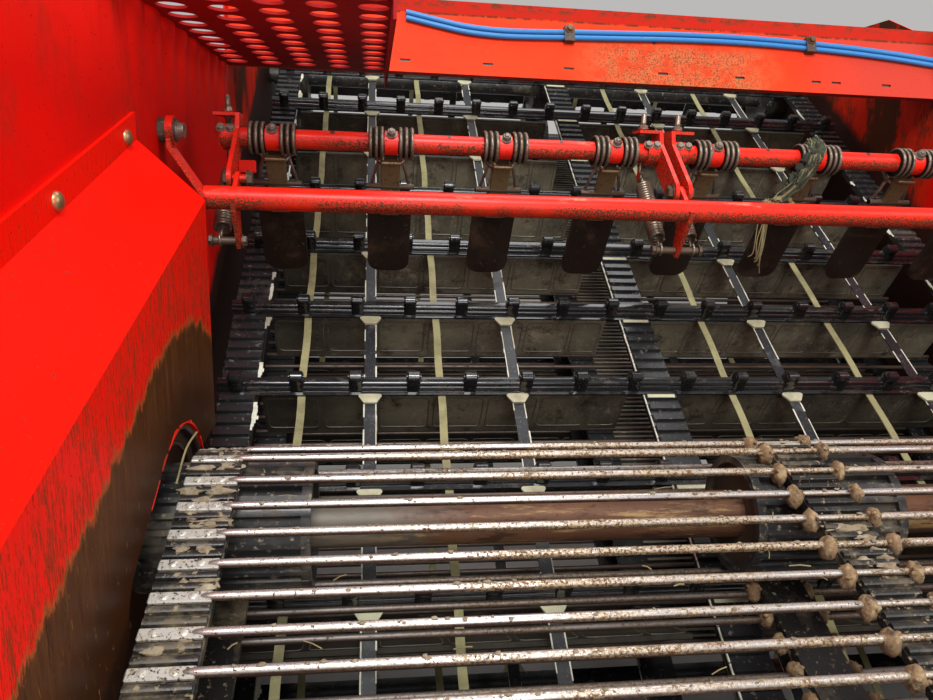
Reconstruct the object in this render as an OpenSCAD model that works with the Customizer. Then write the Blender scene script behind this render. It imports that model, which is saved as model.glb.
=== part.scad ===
// Web section of a potato harvester: a short sieving web tips onto an inclined
// haulm web with a flighted lifting web inside it, between two side walls that
// stand on rails, under a sprung finger comb, a cross beam and a guard.
// Millimetres. X across the machine, Y to the rear, Z up, rails on Z = 0.

/* [Side walls and rails] */
// Clear width between the two side walls
channel_w = 2000; // [1990:1:2030]
// Length of the rails and side walls
unit_len = 2850; // [2840:1:2880]
// Thickness of a side wall sheet
wall_t = 4; // [3:0.5:6]
// Height of the wall's top edge over the floor
wall_top = 1600; // [1590:1:1602]
// Height of a mounting rail
rail_h = 100; // [80:1:120]
// Width of a mounting rail
rail_w = 60; // [50:1:80]
// Wall thickness of a mounting rail
rail_t = 5; // [4:0.5:8]
// Radius of the four mounting holes in the rails
mount_hole_r = 8.5; // [6:0.5:10]
// Distance between the mounting holes along a rail
mount_pitch = 1900; // [1800:10:1980]
// Length of a driven shaft's stub outside its bearing
drive_stub = 60; // [40:1:80]
// Diameter of the round cross tubes between the walls
cross_tube_d = 76; // [60:1:90]

/* [Sieving web] */
// Slope of the sieving web, in degrees
sieve_slope = 20; // [19:0.5:21]
// Distance between the rods along the sieving web
sieve_pitch = 50; // [49:0.5:50]
// Number of rods on the sieving web
sieve_rods = 38; // [37:1:38]
// Diameter of a sieving rod
sieve_rod_d = 12; // [10:0.5:12]
// Gap between the ends of the sieving web's rods and a shroud
sieve_gap = 18.5; // [15:0.5:25]
// Radius of the drums that carry the sieving web
sieve_drum_r = 97; // [96:0.5:98]
// Width of a belt of the sieving web
sieve_belt_w = 75; // [60:1:75]
// Place of the middle belt of the sieving web across the machine
sieve_mid_x = 48; // [40:1:60]
// Depth of the rear drum's axis behind the front end of the rails
sieve_drum_y = 705; // [703:0.5:707]
// Height of the rear drum's axis over the floor
sieve_drum_z = 814; // [812:0.5:816]

/* [Haulm web] */
// Slope of the haulm web, in degrees
haulm_slope = 33.5; // [33:0.5:34]
// Distance between the bars along the haulm web
haulm_pitch = 235; // [233:0.5:236]
// Number of bars on the haulm web
haulm_bars_n = 25; // [25:1:25]
// Radius of the drums that carry the haulm web
haulm_drum_r = 92; // [90:0.5:94]
// Gap between the bars of the haulm web and a wall, on average
haulm_gap = 50; // [40:1:52]
// Width of a belt of the haulm web
haulm_belt_w = 75; // [60:1:75]
// Distance of an outer haulm belt's middle from the bars' ends
haulm_belt_in = 39; // [38:1:50]
// Distance between the caps along a haulm bar
cap_pitch = 121.5; // [118:0.5:123]
// Height of the haulm web between its upper and lower bars
haulm_web_h = 460; // [458:1:464]
// Place of the haulm web's middle belt across the machine
haulm_x = 4; // [0:1:6]
// Width of a cap
cap_w = 28; // [24:1:36]
// Height of a cap over the bar
cap_h = 26; // [16:1:26]
// Depth of the upper drum's axis behind the front end of the rails
haulm_drum_y = 2541.5; // [2538:0.5:2545]
// Height of the upper drum's axis over the floor
haulm_drum_z = 1684; // [1680:0.5:1688]

/* [Lifting web] */
// Rods of the lifting web between two flights
lift_rods_per_flight = 6; // [6:1:6]
// Number of flights on the lifting web
lift_flights_n = 16; // [15:1:16]
// Diameter of a lifting rod
lift_rod_d = 10; // [8:0.5:10]
// Radius of the drums that carry the lifting web
lift_drum_r = 55; // [50:1:56]
// Width of a belt of the lifting web
lift_belt_w = 60; // [50:1:62]
// Height of a flight over the rods
flight_h = 124; // [100:1:124]
// Thickness of a flight
flight_t = 9; // [6:0.5:12]
// Distance of the lifting web's upper drum from the haulm web's
lift_set_in = 352; // [345:1:356]

/* [Finger comb] */
// Outer diameter of the comb's lower tube
lower_tube_d = 42.4; // [40:0.1:44]
// Outer diameter of the comb's two upper half tubes
comb_tube_d = 38; // [36:0.5:40]
// Depth of the upper tube behind the front end of the rails
comb_y = 1187.5; // [1185:0.5:1190]
// Height of the upper tube over the floor
comb_z = 1405; // [1400:1:1410]
// Distance between the upper and the lower tube
comb_reach = 184; // [182:1:188]
// Slope of the line between the two tubes, in degrees
comb_slope = 37.8; // [37:0.1:38.5]
// Tilt of a finger from upright, in degrees
finger_tilt = 35; // [33:0.5:36]
// Length of a finger from the tube's axis to its tip
finger_len = 347; // [330:1:347]
// Width of a finger's rubber paddle
paddle_w = 95; // [80:1:100]
// Thickness of a finger's rubber paddle
paddle_t = 12; // [8:0.5:14]
// Width of a finger's steel strap
strap_w = 38; // [32:1:42]
// Wire diameter of a finger's torsion spring
coil_wire = 7; // [6:0.5:8]
// Place of the split between the two half tubes across the machine
comb_split_x = -20; // [-30:1:-10]

/* [Beam and guard] */
// Depth of the beam's lower edge behind the front end of the rails
beam_y = 1690; // [1688:1:1700]
// Height of the beam's lower edge over the floor
beam_z = 1608; // [1606:1:1612]
// Height of the beam's front face
beam_face_h = 156; // [150:1:160]
// Sheet thickness of the beam and the guard
sheet_t = 5; // [3:0.5:6]
// Width of the perforated guard
guard_w = 407; // [395:1:415]
// Length of the perforated guard
guard_len = 890; // [880:1:900]
// Radius of a hole in the guard
guard_hole_r = 25; // [20:0.5:27]

/* [Shroud] */
// Distance that a shroud stands in from the side wall
shroud_in = 90; // [88:1:92]
// Slope of the shroud's ledge along the machine, in degrees
shroud_slope = 17.2; // [16.5:0.1:17.5]
// Gap between the sieving web's middle line and the shroud's lower edge
shroud_gap_r = 156; // [150:1:158]

/* [Hidden] */
$fn = 48;

seat = 0.3;
run_gap = 0.06;
front_y = -unit_len / 2;
rear_y = unit_len / 2;
wall_x = channel_w / 2;
rail_len = 2180;
// A point given by its distance from the drum axis, along and off the slope
function off_axis(at, slope, along, up) =
    at + [along * cos(slope) - up * sin(slope), along * sin(slope) + up * cos(slope)];

belt_t = 12;
sieve_flat_t = 6;
sieve_line_r = sieve_drum_r + belt_t + sieve_flat_t / 2;
sieve_run = (sieve_rods * sieve_pitch - 2 * PI * sieve_line_r) / 2;
sieve_at = [front_y + sieve_drum_y, sieve_drum_z];
sieve_phase = 25;
sieve_rod_len = channel_w - 2 * (shroud_in + sieve_gap);
sieve_belt_x = (sieve_rod_len - sieve_belt_w) / 2;
sieve_belt_xs = [-sieve_belt_x, sieve_mid_x, sieve_belt_x];
sieve_drum_w = 250;
sieve_drum_x = wall_x - 34 - sieve_drum_w / 2;
sieve_drum_xs = [-sieve_drum_x, sieve_mid_x + 37, sieve_drum_x];

haulm_belt_t = 14;
bar_low = 12;
bar_high = 12;
bar_w = 25;
haulm_line_r = haulm_drum_r + haulm_belt_t + bar_low;
haulm_side = haulm_web_h - 2 * haulm_line_r;
haulm_run = (haulm_bars_n * haulm_pitch - 2 * PI * haulm_line_r) / 2 - haulm_side;
haulm_at = [front_y + haulm_drum_y, haulm_drum_z];
haulm_phase = 55;
haulm_bar_len = channel_w - 2 * haulm_gap;
haulm_belt_x = haulm_bar_len / 2 - haulm_belt_in;
haulm_belt_xs = [haulm_x - haulm_belt_x, haulm_x, haulm_x + haulm_belt_x];

lift_pitch = haulm_pitch / lift_rods_per_flight;
lift_rods_n = lift_flights_n * lift_rods_per_flight;
lift_belt_t = 10;
lift_line_r = lift_drum_r + lift_belt_t + lift_rod_d / 2;
lift_run = (lift_rods_n * lift_pitch - 2 * PI * lift_line_r) / 2;
lift_at = off_axis(haulm_at, haulm_slope, -lift_set_in, -haulm_side / 2);
lift_phase = (haulm_phase - haulm_run + lift_set_in + lift_run + 4 * haulm_pitch) % haulm_pitch;
lift_rod_len = channel_w - 230;
lift_mid_x = -95;
lift_belt_xs = [35 - lift_rod_len / 2, lift_mid_x, lift_rod_len / 2 - 35];
// Start and end of each row of flights across the machine
flight_spans = [[25 - lift_rod_len / 2, lift_mid_x - 45], [lift_mid_x + 145, lift_rod_len / 2 - 25]];

tube_r = comb_tube_d / 2;
lower_tube_r = lower_tube_d / 2;
upper_at = [front_y + comb_y, comb_z];
lower_at = off_axis(upper_at, comb_slope, -comb_reach, 0);
pivot_at = off_axis(upper_at, comb_slope, -128, 0);
arm_at = upper_at + [-152.5, 1];
shaft_r = 25;
drive_stub_r = 22.5;
bearing_t = 34;

// Places along a web
// A web's line has an upper run, two ends of the height h and corners of the
// radius r; s starts at the upper run's front end and goes up it to the rear.
function arc_at(centre, r, from, angle) =
    [centre[0] + r * sin(from + angle), centre[1] + r * cos(from + angle), -from - angle];
function loop_at(s, l, h, r) = let (q = PI * r / 2, deg = 90 / q,
        a = l + q, b = a + h, c = b + q, d = c + l, e = d + q, f = e + h)
    s < l ? [s - l, r, 0]
    : s < a ? arc_at([0, 0], r, 0, (s - l) * deg)
    : s < b ? [r, a - s, -90]
    : s < c ? arc_at([0, -h], r, 90, (s - b) * deg)
    : s < d ? [c - s, -h - r, -180]
    : s < e ? arc_at([-l, -h], r, 180, (s - d) * deg)
    : s < f ? [-l - r, s - e - h, -270]
    : arc_at([-l, 0], r, 270, (s - f) * deg);

// Children stand at the distance s along a web, their Z pointing out of it
module on_web(at, slope, s, l, h, r) {
    p = loop_at(s % (2 * (l + h) + 2 * PI * r), l, h, r);
    translate([0, at[0], at[1]]) rotate([slope, 0, 0]) translate([0, p[0], p[1]]) rotate([p[2], 0, 0])
        children();
}

// Side view shapes are drawn as (Y, Z) and extruded across the machine from x
module across(x, w) translate([x, 0, 0]) rotate([90, 0, 90]) linear_extrude(w) children();

// Round bar across the machine
module cross_rod(x, w, at, r) translate([x, at[0], at[1]]) rotate([0, 90, 0]) cylinder(h = w, r = r);

// Side view outline round the drums of a web
module loop_shape(at, slope, l, h, r) translate(at) rotate(slope) {
    for (u = [0, -l], v = h > 0 ? [0, -h] : [0]) translate([u, v]) circle(r = r);
    translate([-l, -h - r]) square([l, h + 2 * r]);
    if (h > 0) translate([-l - r, -h]) square([l + 2 * r, h]);
}

module band(x, w, at, slope, l, h, r_in, t) across(x - w / 2, w) difference() {
    loop_shape(at, slope, l, h, r_in + t);
    loop_shape(at, slope, l, h, r_in);
}

// Every shaft's axis: two for the sieving web, four for the haulm web and two
// for the lifting web
shaft_places = [sieve_at, off_axis(sieve_at, sieve_slope, -sieve_run, 0),
    haulm_at, off_axis(haulm_at, haulm_slope, 0, -haulm_side),
    off_axis(haulm_at, haulm_slope, -haulm_run, 0),
    off_axis(haulm_at, haulm_slope, -haulm_run, -haulm_side),
    lift_at, off_axis(lift_at, haulm_slope, -lift_run, 0)];

// Side wall sheet with its holes for the shafts
beam_strip_h = 35;
beam_top = beam_z + beam_face_h + beam_strip_h;
module wall_shape() difference() {
    polygon([[front_y, 1], [front_y + rail_len, 1], [rear_y, 620], [rear_y, beam_top + 79],
        [front_y + beam_y + 300, beam_top + 79], [front_y + beam_y + 120, beam_top],
        [front_y + beam_y, beam_top], [front_y + beam_y, wall_top], [front_y + 285, wall_top],
        [front_y, wall_top - 350]]);
    for (p = shaft_places) translate(p) circle(r = shaft_r + 5);
}

// Pleats pressed into a wall below its top edge; each one is a slice of a leaning
// cylinder, so that it runs out in the sheet
pleats_n = 8;
pleat_pitch = 100;
pleat_rise = 8;
pleat_h = 165;
module pleats() {
    r = pleat_rise / 2 + pow(pleat_pitch, 2) / (8 * pleat_rise);
    lean = atan(pleat_rise / pleat_h);
    y0 = front_y + beam_y - 10 - pleats_n * pleat_pitch;
    for (i = [0:pleats_n - 1]) intersection() {
        translate([wall_x + wall_t / 2 - 20, y0 + i * pleat_pitch, wall_top - pleat_h])
            cube([20, pleat_pitch, pleat_h]);
        translate([wall_x - pleat_rise + r, y0 + (i + 0.5) * pleat_pitch, wall_top])
            rotate([0, -lean, 0]) translate([0, 0, -pleat_h - 40])
                cylinder(h = pleat_h + 80, r = r);
    }
}
module wall() {
    across(wall_x, wall_t) wall_shape();
    pleats();
}
module wall_right() color("red") wall();
module wall_left() color("red") mirror([1, 0, 0]) wall();

module rail() difference() {
    translate([wall_x + wall_t, front_y, 0]) cube([rail_w, rail_len, rail_h]);
    translate([wall_x + wall_t + rail_t, front_y - 1, rail_t])
        cube([rail_w - 2 * rail_t, rail_len + 2, rail_h - 2 * rail_t]);
    for (side = [-1, 1]) translate([wall_x + wall_t + rail_w / 2,
            front_y + rail_len / 2 + side * mount_pitch / 2, -1])
        cylinder(h = rail_h + 2, r = mount_hole_r);
}
module rail_right() color("red") rail();
module rail_left() color("red") mirror([1, 0, 0]) rail();

cross_places = [[front_y + 105, 180], [front_y + rail_len - 180, 180], [rear_y - 120, 980]];
module cross_tubes() color("red") for (p = cross_places) difference() {
    cross_rod(-wall_x, channel_w, p, cross_tube_d / 2);
    cross_rod(-wall_x - 1, channel_w + 2, p, cross_tube_d / 2 - 4);
}

// Bearing blocks outside a wall, one for each shaft end
module bearings() color("dimgray") for (p = shaft_places)
    difference() {
        union() {
            cross_rod(wall_x + wall_t, bearing_t, p, shaft_r + 20);
            translate([wall_x + wall_t, p[0] - 60, p[1] - 60]) cube([14, 120, 120]);
            for (a = [-46, 46], b = [-46, 46]) translate([wall_x + wall_t + 10, p[0] + a, p[1] + b])
                rotate([0, 90, 0]) cylinder(h = 11, r = 8, $fn = 6);
        }
        cross_rod(wall_x, bearing_t + 20, p, shaft_r + run_gap);
    }

module bearings_right() bearings();
module bearings_left() mirror([1, 0, 0]) bearings();

// Shroud: a flange on the wall, a sloping ledge and an upright inner face
shroud_drop = 104;
shroud_rear_y = sieve_at[0] + 242;
shroud_bend = [sieve_at[0] + 173.5, 1376];
shroud_foot_z = 893;
module shroud_sheet() {
    t = sheet_t;
    d = shroud_drop;
    w = shroud_in;
    polygon([[0, 45], [0, 0], [w - t, -d], [w - t, -d - 760], [w, -d - 760], [w, -d + 2],
        [t, 5], [t, 45]]);
}
module shroud() intersection() {
    translate([-wall_x, shroud_bend[0], shroud_bend[1]]) rotate([shroud_slope, 0, 0])
        translate([0, 300, 0]) rotate([90, 0, 0]) linear_extrude(unit_len) shroud_sheet();
    linear_extrude(wall_top) polygon([[-wall_x, front_y], [-wall_x + shroud_in, front_y],
        [-wall_x + shroud_in, shroud_rear_y], [-wall_x, shroud_bend[0]]]);
    difference() {
        across(-wall_x, shroud_in) polygon([[front_y, wall_top], [rear_y, wall_top],
            [rear_y, shroud_foot_z],
            [sieve_at[0], shroud_foot_z], [sieve_at[0], sieve_at[1]],
            [front_y, sieve_at[1] + (front_y - sieve_at[0]) * tan(sieve_slope)]]);
        across(-wall_x - 1, shroud_in + 2)
            loop_shape(sieve_at, sieve_slope, sieve_run * 2, 0, shroud_gap_r);
    }
}
// Domed bolt heads along the flange
module shroud_bolts() for (i = [0:2])
    translate([-wall_x + sheet_t, sieve_at[0] + 127.5 - i * 272, 1383 - i * 84.5]) rotate([0, 90, 0]) {
        cylinder(h = 3, r = 12, $fn = 32);
        cylinder(h = 6, r = 9, $fn = 32);
    }
module shroud_left() color("red") {
    shroud();
    shroud_bolts();
}
module shroud_right() color("red") mirror([1, 0, 0]) {
    shroud();
    shroud_bolts();
}

// Cross beam: a folded sheet with a slotted face that leans back
beam_lean = 20;
module beam_shape() {
    t = sheet_t;
    h = beam_face_h;
    b = h * tan(beam_lean);
    top = h + beam_strip_h;
    polygon([[0, 0], [60, 0], [60, t], [t, t], [b + t, h], [b + t, top - t], [b + 96, top - t],
        [b + 96, top - 80], [b + 101, top - 80], [b + 101, top], [b, top], [b, h]]);
}
// Middles of the slots across the machine
beam_slots = [-548, -328, -107, 158, 381, 608, 669, 823];
module cross_beam() color("orangered") difference() {
    across(-wall_x, channel_w) translate([front_y + beam_y, beam_z]) beam_shape();
    for (x = beam_slots) translate([x, front_y + beam_y + 12, beam_z + 30])
        rotate([-beam_lean, 0, 0]) cube([28, 30, 7], center = true);
}

// Perforated guard on the left wall's top edge, with a lip on its free side
guard_cols = 5;
guard_rows = 11;
guard_row_pitch = (guard_len - 130) / (guard_rows - 1);
module guard() color("firebrick") {
    y0 = front_y + beam_y - 20 - guard_len;
    z0 = wall_top;
    difference() {
        union() {
            translate([-wall_x - wall_t, y0, z0]) cube([guard_w, guard_len, sheet_t]);
            translate([-wall_x - wall_t + guard_w - sheet_t, y0, z0 - 40])
                cube([sheet_t, guard_len, 40]);
        }
        for (c = [0:guard_cols - 1], r = [0:guard_rows - 1])
            translate([-wall_x + 42 + c * 82, y0 + 55 + r * guard_row_pitch, z0 - 1])
                cylinder(h = sheet_t + 2, r = guard_hole_r);
    }
}

// Twin hoses clipped to the beam's face
hose_r = 7;
// Places on the beam's face: across the machine, and height over its lower edge
hose_path = [[-545, 152], [-450, 134], [-380, 123], [-290, 118], [-200, 120], [-107, 124], [50, 130],
    [180, 135], [330, 138], [460, 137], [590, 133], [720, 127], [850, 118], [975, 106]];
hose_step = 15;
clip_xs_z = [[-107, 124], [590, 133]];
function on_beam(p, lift) = [p[0], front_y + beam_y + p[1] * tan(beam_lean) - lift * cos(beam_lean),
    beam_z + p[1] + lift * sin(beam_lean)];
function unit(v) = v / norm(v);
module tube_along(points, r, sides) {
    n = len(points);
    dirs = [for (i = [0:n - 1]) unit(points[min(i + 1, n - 1)] - points[max(i - 1, 0)])];
    rings = [for (i = [0:n - 1]) let (a = unit(cross(dirs[i], [0, 1, 0])), b = cross(dirs[i], a))
        for (k = [0:sides - 1]) points[i] + r * (cos(360 * k / sides) * a + sin(360 * k / sides) * b)];
    polyhedron(points = rings, faces = concat([[for (k = [0:sides - 1]) k]],
        [for (i = [0:n - 2], k = [0:sides - 1]) [i * sides + (k + 1) % sides, i * sides + k,
            (i + 1) * sides + k, (i + 1) * sides + (k + 1) % sides]],
        [[for (k = [sides - 1:-1:0]) (n - 1) * sides + k]]));
}
module hoses() color("dodgerblue") for (k = [0, 1])
    tube_along([for (p = hose_path) on_beam([p[0], p[1] - k * hose_step], hose_r + 0.5)], hose_r, 10);
module hose_clips() color("dimgray") for (p = clip_xs_z)
    translate(on_beam([p[0], p[1] - hose_step / 2], 0)) rotate([-beam_lean, 0, 0]) difference() {
        translate([-14, -2 * hose_r - 5, -21]) cube([28, 2 * hose_r + 5 - seat, 42]);
        for (k = [-1, 1]) translate([-20, -hose_r - 0.5, k * hose_step / 2 / cos(beam_lean)])
            rotate([0, 90, 0]) cylinder(h = 40, r = hose_r + 1);
        translate([-20, -hose_r, -hose_step / 2]) cube([40, hose_r + 1, hose_step]);
    }

// Sieving web
module sieve_belts() color("dimgray") for (x = sieve_belt_xs)
    band(x, sieve_belt_w, sieve_at, sieve_slope, sieve_run, 0, sieve_drum_r, belt_t);
// Ends of the round stretches between the flats that lie on the belts
flat_len = 81.5;
sieve_bars = [[flat_len - sieve_rod_len / 2, sieve_mid_x - 42],
    [sieve_mid_x + 42, sieve_rod_len / 2 - flat_len]];
module sieve_rod() {
    translate([-sieve_rod_len / 2, -8, -sieve_flat_t / 2]) cube([sieve_rod_len, 16, sieve_flat_t]);
    for (b = sieve_bars) translate([b[0], 0, 0]) rotate([0, 90, 0])
        cylinder(h = b[1] - b[0], r = sieve_rod_d / 2, $fn = 24);
    for (x = [sieve_bars[0][1] - 14, sieve_bars[1][0] - 4]) translate([x, 0, 0]) rotate([0, 90, 0])
        cylinder(h = 18, r = sieve_rod_d / 2 + 5, $fn = 24);
}
module sieve_web_rods() color("silver") for (i = [0:sieve_rods - 1])
    on_web(sieve_at, sieve_slope, sieve_phase + i * sieve_pitch, sieve_run, 0, sieve_line_r)
        sieve_rod();

// A shaft with a rubber covered drum under each belt; drive is the side (-1 or 1)
// where a stub stands out of the bearing, or 0
module drum_set(at, xs, w, r, core_r, drive = 0) {
    end = wall_x + wall_t + bearing_t;
    cross_rod(drive < 0 ? -end : 4 - end, 2 * end - (drive == 0 ? 8 : 4), at, shaft_r);
    if (drive != 0) cross_rod(drive > 0 ? end : -end - drive_stub, drive_stub, at, drive_stub_r);
    cross_rod(-wall_x + 14, channel_w - 28, at, core_r);
    for (x = xs) cross_rod(x - w / 2, w, at, r);
}
module sieve_drum_rear() color("saddlebrown")
    drum_set(shaft_places[0], sieve_drum_xs, sieve_drum_w, sieve_drum_r - seat, 38, -1);
module sieve_drum_front() color("saddlebrown")
    drum_set(shaft_places[1], sieve_belt_xs, sieve_belt_w + 16, sieve_drum_r - seat, 38);

// Haulm web: wide set bars with caps on three belts, and strips below the bars
module haulm_belts() color("dimgray") for (x = haulm_belt_xs)
    band(x, haulm_belt_w, haulm_at, haulm_slope, haulm_run, haulm_side, haulm_drum_r, haulm_belt_t);
caps_each_side = floor((haulm_bar_len / 2 - cap_w / 2) / cap_pitch - 0.5);
cap_xs = [for (i = [caps_each_side:-1:-caps_each_side - 1]) (i + 0.5) * cap_pitch];
module bar_outline() polygon(concat([[-haulm_bar_len / 2, bar_high], [-haulm_bar_len / 2, -bar_low],
    [haulm_bar_len / 2, -bar_low], [haulm_bar_len / 2, bar_high]],
    [for (x = cap_xs) each [[x + cap_w / 2, bar_high], [x + cap_w / 2 - 3, bar_high + cap_h],
        [x - cap_w / 2 + 3, bar_high + cap_h], [x - cap_w / 2, bar_high]]]));
module haulm_bar() translate([haulm_x, 0, 0]) {
    translate([0, bar_w / 2, 0]) rotate([90, 0, 0]) linear_extrude(bar_w) bar_outline();
    translate([-haulm_bar_len / 2, -bar_w / 2 - 10, -bar_low]) cube([haulm_bar_len, 12, 5]);
}
module haulm_bars() color([0.12, 0.12, 0.13]) for (i = [0:haulm_bars_n - 1])
    on_web(haulm_at, haulm_slope, haulm_phase + i * haulm_pitch, haulm_run, haulm_side, haulm_line_r)
        haulm_bar();
strip_t = 3;
// Each strip: its place as a share of the bars' length, and its width
strips = [[-0.4084, 16], [-0.3337, 25], [-0.2542, 16], [-0.1674, 25],
    [0.0916, 16], [0.1658, 25], [0.2674, 16], [0.3421, 25]];
module haulm_strips() color("darkkhaki") for (s = strips)
    band(s[0] * haulm_bar_len, s[1], haulm_at, haulm_slope, haulm_run, haulm_side,
        haulm_line_r - bar_low - strip_t, strip_t);
module haulm_drums(p, drive = 0) color("dimgray")
    drum_set(p, haulm_belt_xs, haulm_belt_w + 14, haulm_drum_r - seat, 30, drive);
module haulm_drum_upper() {
    haulm_drums(shaft_places[2], 1);
    haulm_drums(shaft_places[3]);
}
module haulm_drum_lower() {
    haulm_drums(shaft_places[4]);
    haulm_drums(shaft_places[5]);
}

// Lifting web: close set rods on three belts with a row of flights every few rods
module lift_belts() color("dimgray") for (x = lift_belt_xs)
    band(x, lift_belt_w, lift_at, haulm_slope, lift_run, 0, lift_drum_r, lift_belt_t);
module lift_rods() color([0.25, 0.2, 0.18]) for (i = [0:lift_rods_n - 1])
    on_web(lift_at, haulm_slope, lift_phase + i * lift_pitch, lift_run, 0, lift_line_r)
        translate([-lift_rod_len / 2, 0, 0]) rotate([0, 90, 0])
            cylinder(h = lift_rod_len, r = lift_rod_d / 2, $fn = 16);
module flight() for (span = flight_spans)
    translate([span[0], -flight_t / 2, 0])
        cube([span[1] - span[0], flight_t, lift_rod_d / 2 + flight_h]);
module lift_flights() color([0.15, 0.15, 0.15]) difference() {
    for (i = [0:lift_flights_n - 1])
        on_web(lift_at, haulm_slope, lift_phase + i * haulm_pitch, lift_run, 0, lift_line_r) flight();
    for (i = [0:lift_flights_n - 1])
        on_web(lift_at, haulm_slope, lift_phase + i * haulm_pitch, lift_run, 0, lift_line_r)
            translate([-lift_rod_len / 2 - 1, 0, 0]) rotate([0, 90, 0])
                cylinder(h = lift_rod_len + 2, r = lift_rod_d / 2, $fn = 16);
}
module lift_drum_upper() color("dimgray")
    drum_set(shaft_places[6], lift_belt_xs, lift_belt_w + 6, lift_drum_r - seat, 30);
module lift_drum_lower() color("dimgray")
    drum_set(shaft_places[7], lift_belt_xs, lift_belt_w + 6, lift_drum_r - seat, 30);

// Comb: bolts on the walls carry two arms with the lower tube
arm_x = wall_x - 70;
eye_x = wall_x - 26;
eye_w = 12;
pivot_pin_r = 8;
module comb_pivots() color("gray") for (side = [0, 1]) mirror([side, 0, 0]) {
    cross_rod(eye_x + eye_w + seat, wall_x - eye_x - eye_w - seat, arm_at, 16);
    cross_rod(eye_x - 16, wall_x - eye_x + 16, arm_at, pivot_pin_r);
    cross_rod(eye_x - 16, 16 - seat, arm_at, 13);
}
bracket_t = 8;
lug_t = 8;
lug_gap = 5;
half_span = wall_x - 141;
// The first side of each lug
lug_xs = [for (k = [-1:1]) comb_split_x + k * half_span - lug_t / 2];
left_plates = [lug_xs[0] - lug_gap - bracket_t, lug_xs[1] - lug_gap - bracket_t];
right_plates = [lug_xs[1] + lug_t + lug_gap, lug_xs[2] + lug_t + lug_gap];
arm_fall = arm_at[1] - lower_at[1];
module comb_arm() difference() {
    union() {
        cross_rod(eye_x, eye_w, arm_at, 25);
        translate([0, arm_at[0] + 20, lower_at[1]]) rotate([90, 0, 0]) linear_extrude(40)
            polygon([[arm_x - 8, 0], [arm_x, 0],
                [eye_x + eye_w, arm_fall - 30], [eye_x + eye_w, arm_fall],
                [eye_x + eye_w - 8, arm_fall], [eye_x + eye_w - 8, arm_fall - 30]]);
    }
    cross_rod(eye_x - 60, eye_w + 120, arm_at, pivot_pin_r + run_gap);
}
module comb_frame() color("red") {
    cross_rod(-arm_x, 2 * arm_x, lower_at, lower_tube_r);
    for (side = [0, 1]) mirror([side, 0, 0]) comb_arm();
    for (x = lug_xs) {
        across(x, lug_t) lug_shape();
        cross_rod(x - lug_gap - bracket_t - 8, lug_t + 2 * (lug_gap + bracket_t + 8),
            pivot_at, pivot_pin_r);
        for (side = [0, 1]) translate([side * (2 * x + lug_t), 0, 0]) mirror([side, 0, 0])
            translate([x - lug_gap - bracket_t - 8, pivot_at[0], pivot_at[1]])
                rotate([0, 90, 0]) cylinder(h = 7, r = 12, $fn = 6);
    }
    cross_rod(comb_split_x - 44, 88, spring_foot, spring_pin_r);
    for (side = [-1, 1])
        cross_rod(comb_split_x + side * (half_span + 20) - 26, 52, spring_foot, spring_pin_r);
}
module bar_shape(a, b, w) {
    l = norm(b - a);
    translate(a) rotate(atan2(b[1] - a[1], b[0] - a[0])) {
        circle(d = w);
        translate([l, 0]) circle(d = w);
        translate([0, -w / 2]) square([l, w]);
    }
}
// The lug stands on the lower tube and reaches down to the springs' cross pin
spring_foot = lower_at + [33, -80];
spring_pin_r = 6;
module lug_shape() {
    bar_shape(lower_at, pivot_at, 26);
    hang = spring_foot - lower_at;
    translate(lower_at) rotate(atan2(hang[1], hang[0]))
        polygon([[-10, -26], [-10, 26], [16, 27], [norm(hang) + 12, 9], [norm(hang) + 12, -9], [16, -27]]);
}
// A bracket plate clamps on the upper tube and turns on the lug's pin
module bracket_plate(x) difference() {
    across(x, bracket_t) {
        bar_shape(upper_at, pivot_at, 50);
        translate(upper_at) polygon([[-22, 0], [25, 0], [42, 46], [-8, 46]]);
    }
    cross_rod(x - 1, bracket_t + 2, pivot_at, pivot_pin_r + run_gap);
}
// The bracket has a clamp collar, and a flange with the eyebolt of a spring
flange_w = 50;
eye_at = upper_at + [34.5, -49];
module bracket(x, side) {
    x0 = side > 0 ? x : x - flange_w + bracket_t;
    bracket_plate(x);
    translate([x0, upper_at[0] - 8, upper_at[1] + 40]) cube([flange_w, 50, 6]);
    cross_rod(side > 0 ? x : x - 33 + bracket_t, 33, upper_at, tube_r + 6);
    translate([x0 + flange_w / 2 + side * bracket_t / 2, eye_at[0], eye_at[1]]) {
        cylinder(h = 110, r = 5, $fn = 24);
        translate([0, 0, 95]) cylinder(h = 8, r = 9, $fn = 6);
        translate([-3, 0, 0]) rotate([0, 90, 0]) cylinder(h = 6, r = 9);
    }
}
// The inner fingers stand 110 off the split, the outer ones 53 inside the outer lugs
finger_pitch = (half_span - 53 - 110) / 3;
finger_xs = [for (i = [0:7]) comb_split_x + (i < 4 ? -110 + (i - 3) * finger_pitch
    : 110 + (i - 4) * finger_pitch)];
coil_w = 30;
hub_w = 26;
module coil_pack(x) translate([x, upper_at[0], upper_at[1]]) rotate([0, 90, 0]) rotate_extrude() {
    translate([tube_r, 0]) square([6 + coil_wire / 2, coil_w]);
    for (k = [0:2])
        translate([tube_r + 6 + coil_wire / 2, coil_wire / 2 + k * (coil_w - coil_wire) / 2])
            circle(d = coil_wire, $fn = 24);
}
module half_bar(ends, plates, side, xs) {
    color("red") cross_rod(ends[0], ends[1] - ends[0], upper_at, tube_r);
    color("red") for (x = plates) bracket(x, side);
    color("gray") for (x = xs, k = [-1, 1])
        coil_pack(x + k * (hub_w / 2 + coil_w / 2 + 2) - coil_w / 2);
}
module half_bar_left() half_bar([left_plates[0] - 29, left_plates[1] + bracket_t], left_plates, -1,
    [for (i = [0:3]) finger_xs[i]]);
module half_bar_right() half_bar([right_plates[0], right_plates[1] + 37], right_plates, 1,
    [for (i = [4:7]) finger_xs[i]]);

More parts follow.
